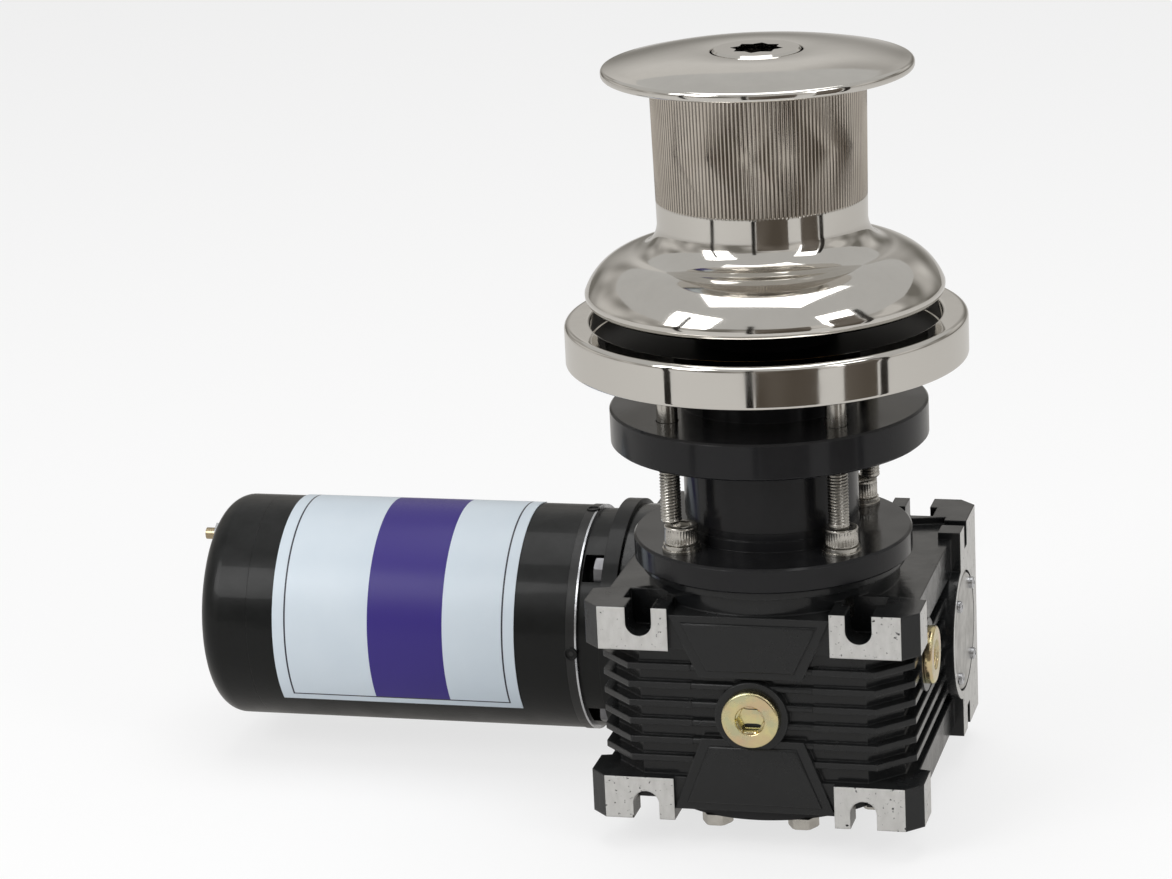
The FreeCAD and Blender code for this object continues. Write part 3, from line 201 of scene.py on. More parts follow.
def make_turning():
    """Fine marks round the Z axis, as a lathe or a polishing wheel leaves them."""
    tree, n, gi, go = new_group("ShaderNodeTree", "turning_marks", [
        ("Scale", FLOAT, 900.0), ("Waviness", FLOAT, 0.002), ("Centre", VECTOR, (0.0, 0.0, 0.0)),
        ("Turn", VECTOR, (0.0, 0.0, 0.0))], [("Height", FLOAT)])
    where = n.here()
    local = n.add("ShaderNodeMapping", {"vector_type": "TEXTURE"}, Vector=where,
                  Location=gi["Centre"], Rotation=gi["Turn"])
    x, y, z = n.add("ShaderNodeSeparateXYZ", Vector=local).outputs
    wave = n.times(n.noise(where, 25.0, 2.0), gi["Waviness"])
    line = n.math("ADD", n.math("ADD", n.radius(x, y), z), wave)
    along = n.add("ShaderNodeCombineXYZ", X=line)
    n.feed(go["Height"], n.noise(along, gi["Scale"], 3.0))
    return tree


def make_dust():
    """Dust that settles in blotches, mostly on faces that look up."""
    tree, n, gi, go = new_group("ShaderNodeTree", "settled_dust", [
        ("Amount", FLOAT, 0.3), ("Scale", FLOAT, 60.0)], [("Mask", FLOAT)])
    normal = n.add("ShaderNodeNewGeometry")
    up = n.add("ShaderNodeSeparateXYZ", Vector=normal.outputs["Normal"])
    top = n.span(up.outputs[2], -0.2, 1.0)
    blotch = n.span(n.noise(n.here(), gi["Scale"], 6.0, Roughness=0.6), 0.35, 0.75)
    n.feed(go["Mask"], n.times(n.times(top, blotch), gi["Amount"]))
    return tree


def make_soft_edges():
    """Rounds the look of sharp edges and marks where they are."""
    tree, n, gi, go = new_group("ShaderNodeTree", "soft_edges", [
        ("Radius", FLOAT, 0.0006), ("Ragged", FLOAT, 0.5)], [("Normal", VECTOR), ("Edge", FLOAT)])
    flat = n.add("ShaderNodeNewGeometry")
    rounded = n.add("ShaderNodeBevel", {"samples": 4}, Radius=gi["Radius"])
    edge = n.span(n.dot(flat.outputs["Normal"], rounded), 0.995, 0.85)
    rag = n.span(n.noise(n.here(), 350.0, 3.0), 0.42, 0.62)
    n.feed(go["Normal"], rounded.outputs[0])
    n.feed(go["Edge"], n.times(edge, n.between(gi["Ragged"], 1.0, rag)))
    return tree


def make_machined_face():
    """Mask of the faces that look along one axis and lie at one place on it."""
    tree, n, gi, go = new_group("ShaderNodeTree", "machined_face", [
        ("Axis", VECTOR, (0.0, -1.0, 0.0)), ("At", FLOAT, 0.064)], [("Mask", FLOAT)])
    normal = n.add("ShaderNodeNewGeometry")
    facing = n.dot(normal.outputs["Normal"], gi["Axis"])
    level = n.math("COMPARE", n.dot(n.here(), gi["Axis"]), gi["At"], 0.0002)
    n.feed(go["Mask"], n.times(level, n.math("GREATER_THAN", facing, 0.98)))
    return tree


def make_round_zone():
    """Mask of a ring about the Z axis, between two radii and two heights."""
    tree, n, gi, go = new_group("ShaderNodeTree", "round_zone", [
        ("Inner", FLOAT, 0.0), ("Outer", FLOAT, 0.05), ("Low", FLOAT, 0.0), ("High", FLOAT, 0.1)],
        [("Mask", FLOAT), ("Radius", FLOAT), ("Height", FLOAT)])
    x, y, height = n.spot()
    radius = n.radius(x, y)
    around = n.inside(radius, gi["Inner"], gi["Outer"])
    level = n.inside(height, gi["Low"], gi["High"])
    n.feed(go["Mask"], n.times(around, level))
    n.feed(go["Radius"], radius)
    n.feed(go["Height"], height)
    return tree


EFFECTS = {"grain": make_grain(), "turning": make_turning(), "dust": make_dust(),
           "soft_edges": make_soft_edges(), "machined_face": make_machined_face(),
           "round_zone": make_round_zone()}


class Finish(Nodes):
    """One material: a Principled shader, with effects placed from the groups above."""

    def __init__(self, name, colour, **fixed):
        self.material = bpy.data.materials.new(name)
        self.material.use_nodes = True
        super().__init__(self.material.node_tree)
        self.shader = self.tree.nodes["Principled BSDF"]
        self.shader.location = (2600, 0)
        self.tree.nodes["Material Output"].location = (2900, 0)
        self.shader.inputs["Base Color"].default_value = (*colour, 1.0)
        self.material.diffuse_color = (*colour, 1.0)
        for key, value in fixed.items():
            self.shader.inputs[key.replace("_", " ")].default_value = value

    def effect(self, name, **inputs):
        node = self.add("ShaderNodeGroup", {"node_tree": EFFECTS[name]})
        for key, value in inputs.items():
            self.feed(node.inputs[key], value)
        return node.outputs

    def set(self, socket, value):
        self.feed(self.shader.inputs[socket], value)

    def bump(self, height, strength=0.2, distance=0.0002, normal=None):
        node = self.add("ShaderNodeBump", Strength=strength, Distance=distance, Height=height)
        if normal is not None:
            self.feed(node.inputs["Normal"], normal)
        self.set("Normal", node.outputs[0])


def polished_steel(name, shade_zones=(), fluted=False):
    """Buffed stainless: mirror bright, with faint marks round the Z axis and hazy patches.

    The shade zones (inner and outer radius, low and high, in millimetres) are black, as painted shade in
    hollows. A fluted drum's neck is duller and stained, with painted shade darkening its grooves."""
    colour = (0.70, 0.68, 0.645)
    f = Finish(name, colour, Metallic=1.0, Specular_IOR_Level=0.5)
    haze = f.effect("grain", Scale=30.0, Detail=5.0, Low=0.35, High=0.7)
    lines = f.effect("turning", Scale=1600.0)
    dust = f.effect("dust", Amount=0.5, Scale=90.0)
    shade = f.blend(dust["Mask"], (*colour, 1), (*[c * 0.88 for c in colour], 1))
    shine = f.between(haze["Mask"], 0.04, 0.11)
    if fluted:
        zone = f.effect("round_zone", Inner=(NECK_LOW_R - 4.3) * MM, Outer=(NECK_HIGH_R + 2.0) * MM,
                        Low=FLUTE_LOW * MM, High=FLUTE_HIGH * MM)
        rise = f.minus(zone["Height"], FLUTE_LOW * MM)
        wall = f.math("ADD", neck_r(FLUTE_LOW) * MM, f.times(NECK_SLOPE, rise))
        depth = f.math("DIVIDE", f.minus(wall, zone["Radius"]), FLUTE_DEPTH * MM)
        streak = f.effect("grain", Scale=160.0, Stretch=(1.0, 1.0, 0.05), Detail=3.0, Low=0.3, High=0.7)
        patchy, drawn = f.times(haze["Mask"], 0.9), f.times(streak["Mask"], 0.45)
        stain = f.blend(patchy, (0.66, 0.61, 0.55, 1), (0.46, 0.41, 0.35, 1))
        stain = f.blend(drawn, stain, (0.72, 0.68, 0.62, 1))
        # painted shade: the flutes darken towards the bottom of each groove
        groove = f.blend(f.span(depth, 0.35, 1.0), stain, (0.13, 0.112, 0.095, 1))
        shade = f.blend(zone["Mask"], shade, groove)
        shine = f.between(zone["Mask"], shine, f.between(streak["Mask"], 0.13, 0.26))
    # painted shade: these hollows are coloured black
    for inner, outer, low, high in shade_zones:
        zone = f.effect("round_zone", Inner=inner * MM, Outer=outer * MM, Low=low * MM, High=high * MM)
        shade = f.blend(zone["Mask"], shade, (0.010, 0.010, 0.010, 1))
        shine = f.between(zone["Mask"], shine, 0.5)
    f.set("Base Color", shade)
    f.set("Roughness", shine)
    f.bump(lines["Height"], 0.02, 0.0001)
    return f.material


def machined_steel(name, colour, rough, scale=700.0, centre=(0, 0, 0), turn=(0, 0, 0)):
    """Turned or ground metal, a little uneven in colour and shine."""
    f = Finish(name, colour, Metallic=1.0)
    patch = f.effect("grain", Scale=120.0, Detail=5.0, Low=0.35, High=0.65)
    lines = f.effect("turning", Scale=scale, Centre=centre, Turn=turn)
    edges = f.effect("soft_edges", Radius=0.0003)
    f.set("Roughness", f.between(patch["Mask"], *rough))
    f.set("Base Color", f.blend(patch["Mask"], (*colour, 1), (*[c * 0.8 for c in colour], 1)))
    f.bump(lines["Height"], 0.12, 0.0001, edges["Normal"])
    return f.material


def gloss_black(name, colour=(0.011, 0.011, 0.012), rough=(0.12, 0.24), orange_peel=0.06, wear=0.5):
    """Black paint over metal: slight orange peel, dust above, greyer along the edges."""
    f = Finish(name, colour, Coat_Weight=0.12, Coat_Roughness=0.08, Specular_IOR_Level=0.18)
    peel = f.effect("grain", Scale=420.0, Detail=2.0, Low=0.3, High=0.7)
    patch = f.effect("grain", Scale=45.0, Detail=5.0, Low=0.35, High=0.7)
    dust = f.effect("dust", Amount=0.25, Scale=120.0)
    edges = f.effect("soft_edges", Radius=0.0006, Ragged=0.7)
    dull = f.blend(dust["Mask"], (*colour, 1), (0.035, 0.036, 0.036, 1))
    f.set("Base Color", f.blend(f.times(edges["Edge"], wear), dull, (0.045, 0.045, 0.045, 1)))
    f.set("Roughness", f.between(patch["Mask"], *rough))
    f.bump(peel["Height"], orange_peel, 0.0003, edges["Normal"])
    return f.material


def lipped_black(name, lip_x):
    """Black paint on a ring about the motor's axis, with its last edge turned bright."""
    f = Finish(name, (0.010, 0.010, 0.010), Specular_IOR_Level=0.4)
    peel = f.effect("grain", Scale=420.0, Detail=2.0, Low=0.3, High=0.7)
    rub = f.effect("grain", Scale=60.0, Detail=5.0, Low=0.35, High=0.55)
    edges = f.effect("soft_edges", Radius=0.0003)
    lip = f.times(f.math("GREATER_THAN", f.spot()[0], lip_x), f.between(rub["Mask"], 0.55, 1.0))
    f.set("Base Color", f.blend(lip, (0.010, 0.010, 0.010, 1), (0.62, 0.63, 0.66, 1)))
    f.set("Metallic", lip)
    f.set("Roughness", f.between(lip, f.between(peel["Mask"], 0.3, 0.42), 0.25))
    f.bump(peel["Height"], 0.12, 0.0003, edges["Normal"])
    return f.material


def cast_black(name):
    """Sand-cast casing in black paint; its foot faces are machined bare."""
    paint, metal = (0.009, 0.0095, 0.010, 1), (0.66, 0.655, 0.64, 1)
    f = Finish(name, paint[:3], Coat_Weight=0.15, Coat_Roughness=0.06, Specular_IOR_Level=0.3)
    cast = f.effect("grain", Scale=260.0, Detail=5.0, Low=0.3, High=0.7)
    lumps = f.effect("grain", Scale=55.0, Detail=3.0, Low=0.35, High=0.65)
    dust = f.effect("dust", Amount=0.35, Scale=130.0)
    edges = f.effect("soft_edges", Radius=0.0012, Ragged=0.6)
    milled = f.effect("grain", Scale=300.0, Stretch=(1.0, 1.0, 0.5), Detail=5.0, Low=0.3, High=0.7)
    pits = f.effect("grain", Scale=520.0, Detail=4.0, Low=0.64, High=0.70)
    faces = f.effect("machined_face", Axis=(0, -1, 0), At=-FRONT_Y * MM)["Mask"]
    for axis, at in (((0, 1, 0), REAR_Y), ((1, 0, 0), SIDE_X), ((-1, 0, 0), SIDE_X)):
        mask = f.effect("machined_face", Axis=axis, At=at * MM)["Mask"]
        faces = f.math("MAXIMUM", faces, mask)
    bare = f.times(faces, f.minus(1.0, pits["Mask"]))
    dark = f.blend(dust["Mask"], paint, (0.030, 0.031, 0.030, 1))
    dark = f.blend(f.times(edges["Edge"], 0.45), dark, (0.05, 0.05, 0.05, 1))
    shiny = f.blend(milled["Mask"], metal, (0.57, 0.565, 0.55, 1))
    f.set("Base Color", f.blend(bare, dark, shiny))
    f.set("Metallic", f.times(bare, 0.6))
    f.set("Roughness", f.between(bare, f.between(lumps["Mask"], 0.15, 0.28),
                                 f.between(milled["Mask"], 0.36, 0.5)))
    height = f.between(faces, cast["Height"], f.times(milled["Height"], 0.35))
    f.bump(height, 0.25, 0.0006, edges["Normal"])
    return f.material


def yellow_zinc(name):
    """Zinc plate with a yellow passivate, pink and green where it is thin."""
    f = Finish(name, (0.72, 0.60, 0.30), Metallic=1.0)
    hue = f.effect("grain", Scale=70.0, Detail=3.0, Low=0.3, High=0.7)
    spot = f.effect("grain", Scale=160.0, Detail=5.0, Low=0.45, High=0.65)
    edges = f.effect("soft_edges", Radius=0.0003)
    tint = f.blend(hue["Mask"], (0.78, 0.70, 0.36, 1), (0.70, 0.50, 0.34, 1))
    f.set("Base Color", f.blend(f.times(spot["Mask"], 0.5), tint, (0.55, 0.62, 0.42, 1)))
    f.set("Roughness", f.between(spot["Mask"], 0.16, 0.34))
    f.bump(spot["Height"], 0.08, 0.0003, edges["Normal"])
    return f.material


def moulded(name, colour, rough, bump=0.1):
    """Plastic, rubber or powder-like matt surface."""
    f = Finish(name, colour)
    fine = f.effect("grain", Scale=300.0, Detail=4.0, Low=0.35, High=0.65)
    patch = f.effect("grain", Scale=40.0, Detail=4.0, Low=0.35, High=0.7)
    dust = f.effect("dust", Amount=0.2, Scale=100.0)
    edges = f.effect("soft_edges", Radius=0.0004)
    lighter = tuple(min(1.0, c * 1.25 + 0.01) for c in colour)
    f.set("Base Color", f.blend(dust["Mask"], f.blend(patch["Mask"], (*colour, 1), (*lighter, 1)),
                                (0.25, 0.25, 0.24, 1)))
    f.set("Roughness", f.between(fine["Mask"], *rough))
    f.bump(fine["Height"], bump, 0.0003, edges["Normal"])
    return f.material


def layered(name, colour, other, axis, pitch, metallic):
    """Stacked sheets or wound wire, one layer every pitch along an axis."""
    f = Finish(name, colour, Metallic=metallic)
    line = f.math("PINGPONG", f.dot(f.here(), axis), pitch / 2)
    height = f.math("DIVIDE", line, pitch / 2)
    patch = f.effect("grain", Scale=90.0, Detail=4.0, Low=0.35, High=0.65)
    f.set("Base Color", f.blend(height, (*other, 1), (*colour, 1)))
    f.set("Roughness", f.between(patch["Mask"], 0.3, 0.5))
    f.bump(height, 0.5, 0.0004)
    return f.material


def printed_label(name, frame_x, band_x, angles, radius):
    """Pale printed film round the motor: a thin dark frame and a broad navy band, otherwise plain.

    The frame runs between two places along X and two angles from the front towards up, in radians."""
    paper, navy, line = (0.56, 0.63, 0.69, 1), (0.034, 0.020, 0.185, 1), (0.035, 0.035, 0.05, 1)
    f = Finish(name, paper[:3], Coat_Weight=0.15, Coat_Roughness=0.25, Specular_IOR_Level=0.25)
    x, y, z = f.spot()
    angle = f.math("ARCTAN2", f.minus(z, MOTOR_CENTRE[1]), f.minus(MOTOR_CENTRE[0], y))
    width = 0.9 * MM
    turn = width / radius
    outer = f.times(f.inside(x, *frame_x), f.inside(angle, *angles))
    inner = f.times(f.inside(x, frame_x[0] + width, frame_x[1] - width),
                    f.inside(angle, angles[0] + turn, angles[1] - turn))
    border = f.minus(outer, inner)
    band = f.times(f.inside(x, *band_x), outer)
    tone = f.effect("grain", Scale=25.0, Detail=3.0, Low=0.3, High=0.7)
    fine = f.effect("grain", Scale=900.0, Detail=2.0, Low=0.3, High=0.7)
    plain = f.blend(tone["Mask"], paper, (0.60, 0.665, 0.72, 1))
    f.set("Base Color", f.blend(border, f.blend(band, plain, navy), line))
    f.set("Roughness", f.between(fine["Mask"], 0.32, 0.42))
    f.bump(fine["Height"], 0.04, 0.0001)
    return f.material


# painted shade: hollows coloured black, as radii and heights in millimetres
SKIRT_HOLLOW = ((43.0, 79.5, 0.0, 37.5), (43.0, 73.8, 0.0, 46.5))   # painted shade under the drum's skirt
RING_WELL = ((33.5, 82.5, 9.5, 22.5),)                              # painted shade inside the deck ring
SEAM_LIP_X = -105.0     # where the seam ring's bright lip starts
LABEL_X = tuple(corner.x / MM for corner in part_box("motor_label"))
LABEL_R = (MOTOR_R + 0.05, MOTOR_R + 0.45)
LABEL_ANGLES = (-37.0, 109.0)   # degrees from the front of the motor towards up
LABEL_FRAME_X, LABEL_BAND_X = (-256.0, -141.6), (-212.0, -173.0)
LABEL_MARGIN = 4.0              # degrees from the film's ends to its frame

stainless_mirror = polished_steel("stainless_mirror")
stainless_drum = polished_steel("stainless_drum", shade_zones=SKIRT_HOLLOW, fluted=True)
stainless_ring = polished_steel("stainless_ring", shade_zones=RING_WELL)
stainless_satin = machined_steel("stainless_satin", (0.60, 0.58, 0.54), (0.18, 0.32))
ground_steel = machined_steel("ground_steel", (0.50, 0.50, 0.50), (0.2, 0.34))
ground_steel_motor = machined_steel("ground_steel_motor", (0.50, 0.50, 0.50), (0.2, 0.34),
                                    **MOTOR_AXIS)
dark_steel = machined_steel("dark_steel", (0.20, 0.20, 0.21), (0.3, 0.5))
bright_zinc = machined_steel("bright_zinc", (0.66, 0.67, 0.70), (0.18, 0.3), **MOTOR_AXIS)
cast_iron = machined_steel("cast_iron", (0.28, 0.27, 0.26), (0.4, 0.6), scale=300.0)
machined_cover = machined_steel("machined_cover", (0.58, 0.575, 0.56), (0.3, 0.45),
                                scale=500.0, **MOTOR_AXIS)
bronze = machined_steel("bronze", (0.60, 0.36, 0.15), (0.22, 0.38))
brass = machined_steel("brass", (0.50, 0.41, 0.27), (0.2, 0.36), **MOTOR_AXIS)
flange_black = gloss_black("flange_black")
casing_black = cast_black("casing_black")
cover_black = gloss_black("cover_black", rough=(0.26, 0.4), orange_peel=0.2)
motor_black = gloss_black("motor_black", colour=(0.005, 0.0055, 0.0055), rough=(0.3, 0.42),
                          orange_peel=0.15, wear=0.3)
seam_black = lipped_black("seam_black", SEAM_LIP_X * MM)
plug_yellow = yellow_zinc("plug_yellow")
# painted shade: darker colour for the inside of the plugs' sockets
plug_socket = machined_steel("plug_socket", (0.17, 0.165, 0.15), (0.16, 0.28))
seal_rubber = moulded("seal_rubber", (0.018, 0.018, 0.018), rough=(0.5, 0.7), bump=0.2)
bush_plastic = moulded("bush_plastic", (0.62, 0.60, 0.54), rough=(0.35, 0.5))
terminal_red = moulded("terminal_red", (0.16, 0.022, 0.016), rough=(0.3, 0.45))
brush_plastic = moulded("brush_plastic", (0.10, 0.045, 0.02), rough=(0.4, 0.6))
carbon = moulded("carbon", (0.03, 0.03, 0.032), rough=(0.45, 0.65), bump=0.3)
ferrite = moulded("ferrite", (0.06, 0.06, 0.063), rough=(0.5, 0.7), bump=0.3)
core_sheets = layered("core_sheets", (0.30, 0.30, 0.31), (0.08, 0.08, 0.09), (1, 0, 0), 0.0016,
                      metallic=0.8)
winding_wire = layered("winding_wire", (0.62, 0.25, 0.12), (0.20, 0.07, 0.03), (0.6, 0.5, 0.62), 0.0018,
                       metallic=0.7)
commutator_copper = layered("commutator_copper", (0.66, 0.34, 0.20), (0.35, 0.17, 0.10), (1, 0, 0),
                            0.003, metallic=0.9)
label_film = printed_label("label_film", [x * MM for x in LABEL_FRAME_X], [x * MM for x in LABEL_BAND_X],
                           (math.radians(LABEL_ANGLES[0] + LABEL_MARGIN),
                            math.radians(LABEL_ANGLES[1] - LABEL_MARGIN)), LABEL_R[1] * MM)

CAD_FINISH = {
    flange_black: ["mounting_spool"],
    casing_black: ["gearbox_housing"],
    cover_black: ["bottom_cover"],
    motor_black: ["motor_front_cap", "motor_casing", "motor_rear_cap"],
    seam_black: ["motor_seam_ring"],
    stainless_mirror: ["clutch_nut"],
    stainless_satin: ["spool_washers", "spool_spring_washers", "clutch_washer",
                      "bottom_cover_bolts"],
    ground_steel: ["main_shaft", "main_bearing_outer_rings", "main_bearing_inner_rings",
                   "wheel_spacers", "drive_cone_key", "worm_wheel_key"],
    ground_steel_motor: ["worm", "armature_shaft", "worm_bearing_outer_rings",
                         "worm_bearing_inner_rings", "motor_bearing_outer_rings",
                         "motor_bearing_inner_rings", "coupling_sleeve", "worm_bearing_carrier"],
    dark_steel: ["motor_flange_bolts", "motor_tie_bolts"],
    bright_zinc: ["worm_end_cover_screws", "terminal_nuts"],
    machined_cover: ["worm_end_cover"],
    cast_iron: ["worm_wheel_hub"],
    bronze: ["worm_wheel_rim", "drum_bush", "drive_cone"],
    brass: ["terminal_studs"],
    seal_rubber: ["spool_shaft_seal"],
    bush_plastic: ["deck_ring_bush"],
    terminal_red: ["terminal_insulators"],
    brush_plastic: ["brush_ring"],
    carbon: ["brushes"],
    ferrite: ["motor_magnets"],
    core_sheets: ["armature_core"],
    winding_wire: ["armature_windings"],
    commutator_copper: ["commutator"],
}
for finish, names in CAD_FINISH.items():
    for name in names:
        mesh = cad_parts[name].data
        mesh.materials.clear()
        mesh.materials.append(finish)


# ---------- turned pieces
def make_turned_tree():
    """Turns a profile (radius on X, height on Z) round the Z axis.

    Rows of the profile carry how far they take the grooves, the flats and the thread."""
    tree, n, gi, go = new_group("GeometryNodeTree", "turned_piece", [
        ("Geometry", GEOMETRY, None), ("Segments", INT, 128), ("Grooves", INT, 0),
        ("Groove Depth", FLOAT, 0.0), ("Flats", INT, 6), ("Thread Pitch", FLOAT, 0.0015),
        ("Thread Depth", FLOAT, 0.0), ("Turn", VECTOR, (0, 0, 0)), ("Place", VECTOR, (0, 0, 0)),
        ("Crease", FLOAT, 0.6), ("Material", MATERIAL, None)], [("Geometry", GEOMETRY)])
    profile = gi["Geometry"]
    rows = n.add("GeometryNodeAttributeDomainSize", {"component": "MESH"}, i0=profile).outputs[0]
    columns = n.math("ADD", gi["Segments"], 1)
    sheet = n.add("GeometryNodeMeshGrid", i0=1.0, i1=1.0, i2=columns, i3=rows)
    index = n.add("GeometryNodeInputIndex")
    column = n.math("FLOOR", n.math("DIVIDE", n.math("ADD", index, 0.5), rows))
    row = n.minus(index, n.times(column, rows))
    turn = n.math("DIVIDE", column, gi["Segments"])
    angle = n.times(turn, math.tau)

    def sampled(data_type, value):
        node = n.add("GeometryNodeSampleIndex", {"data_type": data_type, "domain": "POINT"})
        n.feed(node.inputs[0], profile)
        n.feed(node.inputs["Value"], value)
        n.feed(node.inputs["Index"], row)
        return node.outputs[0]

    def row_share(name):
        attribute = n.add("GeometryNodeInputNamedAttribute", {"data_type": "FLOAT"}, Name=name)
        return sampled("FLOAT", attribute.outputs[0])

    point = sampled("FLOAT_VECTOR", n.add("GeometryNodeInputPosition"))
    radius, _, height = n.add("ShaderNodeSeparateXYZ", Vector=point).outputs
    wave = n.math("COSINE", n.times(angle, gi["Grooves"]))
    cut = n.times(n.minus(0.5, n.times(wave, 0.5)), gi["Groove Depth"])
    radius = n.minus(radius, n.times(cut, row_share("groove")))
    lead = n.minus(n.math("DIVIDE", height, gi["Thread Pitch"]), turn)
    tooth = n.times(n.math("PINGPONG", lead, 0.5), 2.0)
    tooth = n.times(n.times(tooth, gi["Thread Depth"]), row_share("thread"))
    radius = n.minus(radius, tooth)
    side = n.math("DIVIDE", math.tau, gi["Flats"])
    half = n.times(side, 0.5)
    off = n.minus(n.math("MODULO", angle, side), half)
    flat = n.math("DIVIDE", n.math("COSINE", half), n.math("COSINE", off))
    radius = n.times(radius, n.between(row_share("flat"), 1.0, flat))
    place = n.add("ShaderNodeCombineXYZ", X=n.times(radius, n.math("COSINE", angle)),
                  Y=n.times(radius, n.math("SINE", angle)), Z=height)
    shaped = n.add("GeometryNodeSetPosition", Geometry=sheet.outputs[0], Position=place)
    closed = n.add("GeometryNodeMergeByDistance", Geometry=shaped, Distance=0.000002)
    put = n.add("GeometryNodeTransform", Geometry=closed, Translation=gi["Place"])
    n.feed(put.inputs["Rotation"], gi["Turn"])
    bend = n.add("GeometryNodeInputMeshEdgeAngle").outputs[0]
    sharp = n.math("GREATER_THAN", bend, gi["Crease"])
    smooth = n.add("GeometryNodeSetShadeSmooth", {"domain": "FACE"}, i0=put, i2=True)
    creased = n.add("GeometryNodeSetShadeSmooth", {"domain": "EDGE"}, i0=smooth, i1=sharp, i2=False)
    done = n.add("GeometryNodeSetMaterial", Geometry=creased, Material=gi["Material"])
    n.feed(go[0], done)
    return tree


def make_circle_tree():
    """Sets copies of a piece round a circle about the Z axis."""
    tree, n, gi, go = new_group("GeometryNodeTree", "pieces_on_circle", [
        ("Geometry", GEOMETRY, None), ("Count", INT, 4), ("Circle Radius", FLOAT, 0.05),
        ("First Angle", FLOAT, 0.0), ("Height", FLOAT, 0.0), ("Material", MATERIAL, None)],
        [("Geometry", GEOMETRY)])
    index = n.add("GeometryNodeInputIndex")
    angle = n.math("ADD", gi["First Angle"], n.math("DIVIDE", n.times(index, math.tau), gi["Count"]))
    spot = n.add("ShaderNodeCombineXYZ", X=n.times(gi["Circle Radius"], n.math("COSINE", angle)),
                 Y=n.times(gi["Circle Radius"], n.math("SINE", angle)), Z=gi["Height"])
    points = n.add("GeometryNodePoints", Count=gi["Count"], Position=spot)
    spun = n.add("ShaderNodeCombineXYZ", Z=angle)
    copies = n.add("GeometryNodeInstanceOnPoints", Points=points, Instance=gi["Geometry"])
    n.feed(copies.inputs["Rotation"], spun)
    real = n.add("GeometryNodeRealizeInstances", Geometry=copies)
    done = n.add("GeometryNodeSetMaterial", Geometry=real, Material=gi["Material"])
    n.feed(go[0], done)
    return tree


TURNED, ON_CIRCLE = make_turned_tree(), make_circle_tree()


def run_tree(name, source, tree, **inputs):
    """A new plain mesh object: the source mesh put through a geometry tree."""
    worker = placed(name + "_work", source)
    modifier = worker.modifiers.new("shape", "NODES")
    modifier.node_group = tree
    for item in tree.interface.items_tree:
        key = item.name.replace(" ", "_")
        if item.in_out == "INPUT" and key in inputs:
            modifier[item.identifier] = inputs[key]
    bpy.context.view_layer.update()
    graph = bpy.context.evaluated_depsgraph_get()
    mesh = bpy.data.meshes.new_from_object(worker.evaluated_get(graph), depsgraph=graph)
    bpy.data.objects.remove(worker)
    mesh.name = name
    outward(mesh)
    return placed(name, mesh)


def outward(mesh):
    """Turns a closed mesh's faces outwards."""
    work = bmesh.new()
    work.from_mesh(mesh)
    bmesh.ops.recalc_face_normals(work, faces=work.faces)
    work.to_mesh(mesh)
    work.free()


class Profile:
    """Outline of a turned piece, point by point in millimetres."""

    def __init__(self):
        self.points, self.shares = [], []

    def to(self, r, z, groove=0.0, flat=0.0, thread=0.0):
        """Next point, with its share of the grooves, the flats and the thread."""
        self.points.append((r, z))
        self.shares.append((groove, flat, thread))
        return self

    def arc(self, middle, end, steps=10, **shares):
        """Arc from the last point through the middle one to the end."""
        (x0, y0), (x1, y1), (x2, y2) = self.points[-1], middle, end
        d = 2 * (x0 * (y1 - y2) + x1 * (y2 - y0) + x2 * (y0 - y1))
        s0, s1, s2 = x0 * x0 + y0 * y0, x1 * x1 + y1 * y1, x2 * x2 + y2 * y2
        cx = (s0 * (y1 - y2) + s1 * (y2 - y0) + s2 * (y0 - y1)) / d
        cy = (s0 * (x2 - x1) + s1 * (x0 - x2) + s2 * (x1 - x0)) / d
        r = math.hypot(x0 - cx, y0 - cy)
        a0, a1, a2 = (math.atan2(y - cy, x - cx) for x, y in ((x0, y0), (x1, y1), (x2, y2)))
        sweep = (a2 - a0) % math.tau
        if (a1 - a0) % math.tau > sweep:
            sweep -= math.tau
        for i in range(1, steps + 1):
            a = a0 + sweep * i / steps
            self.to(cx + r * math.cos(a), cy + r * math.sin(a), **shares)
        return self

    def mesh(self, name):
        mesh = bpy.data.meshes.new(name)
        count = len(self.points)
        mesh.from_pydata([(r * MM, 0, z * MM) for r, z in self.points],
                         [(i, i + 1) for i in range(count - 1)], [])
        for column, label in enumerate(("groove", "flat", "thread")):
            layer = mesh.attributes.new(label, "FLOAT", "POINT")
            for i, share in enumerate(self.shares):
                layer.data[i].value = share[column]
        return mesh

    def closed(self):
        """Comes back to the first point."""
        self.points.append(self.points[0])
        self.shares.append(self.shares[0])
        return self


def turned(name, profile, finish, **inputs):
    """Piece turned from a profile about the Z axis."""
    return run_tree(name, profile.mesh(name + "_profile"), TURNED, Material=finish, **inputs)


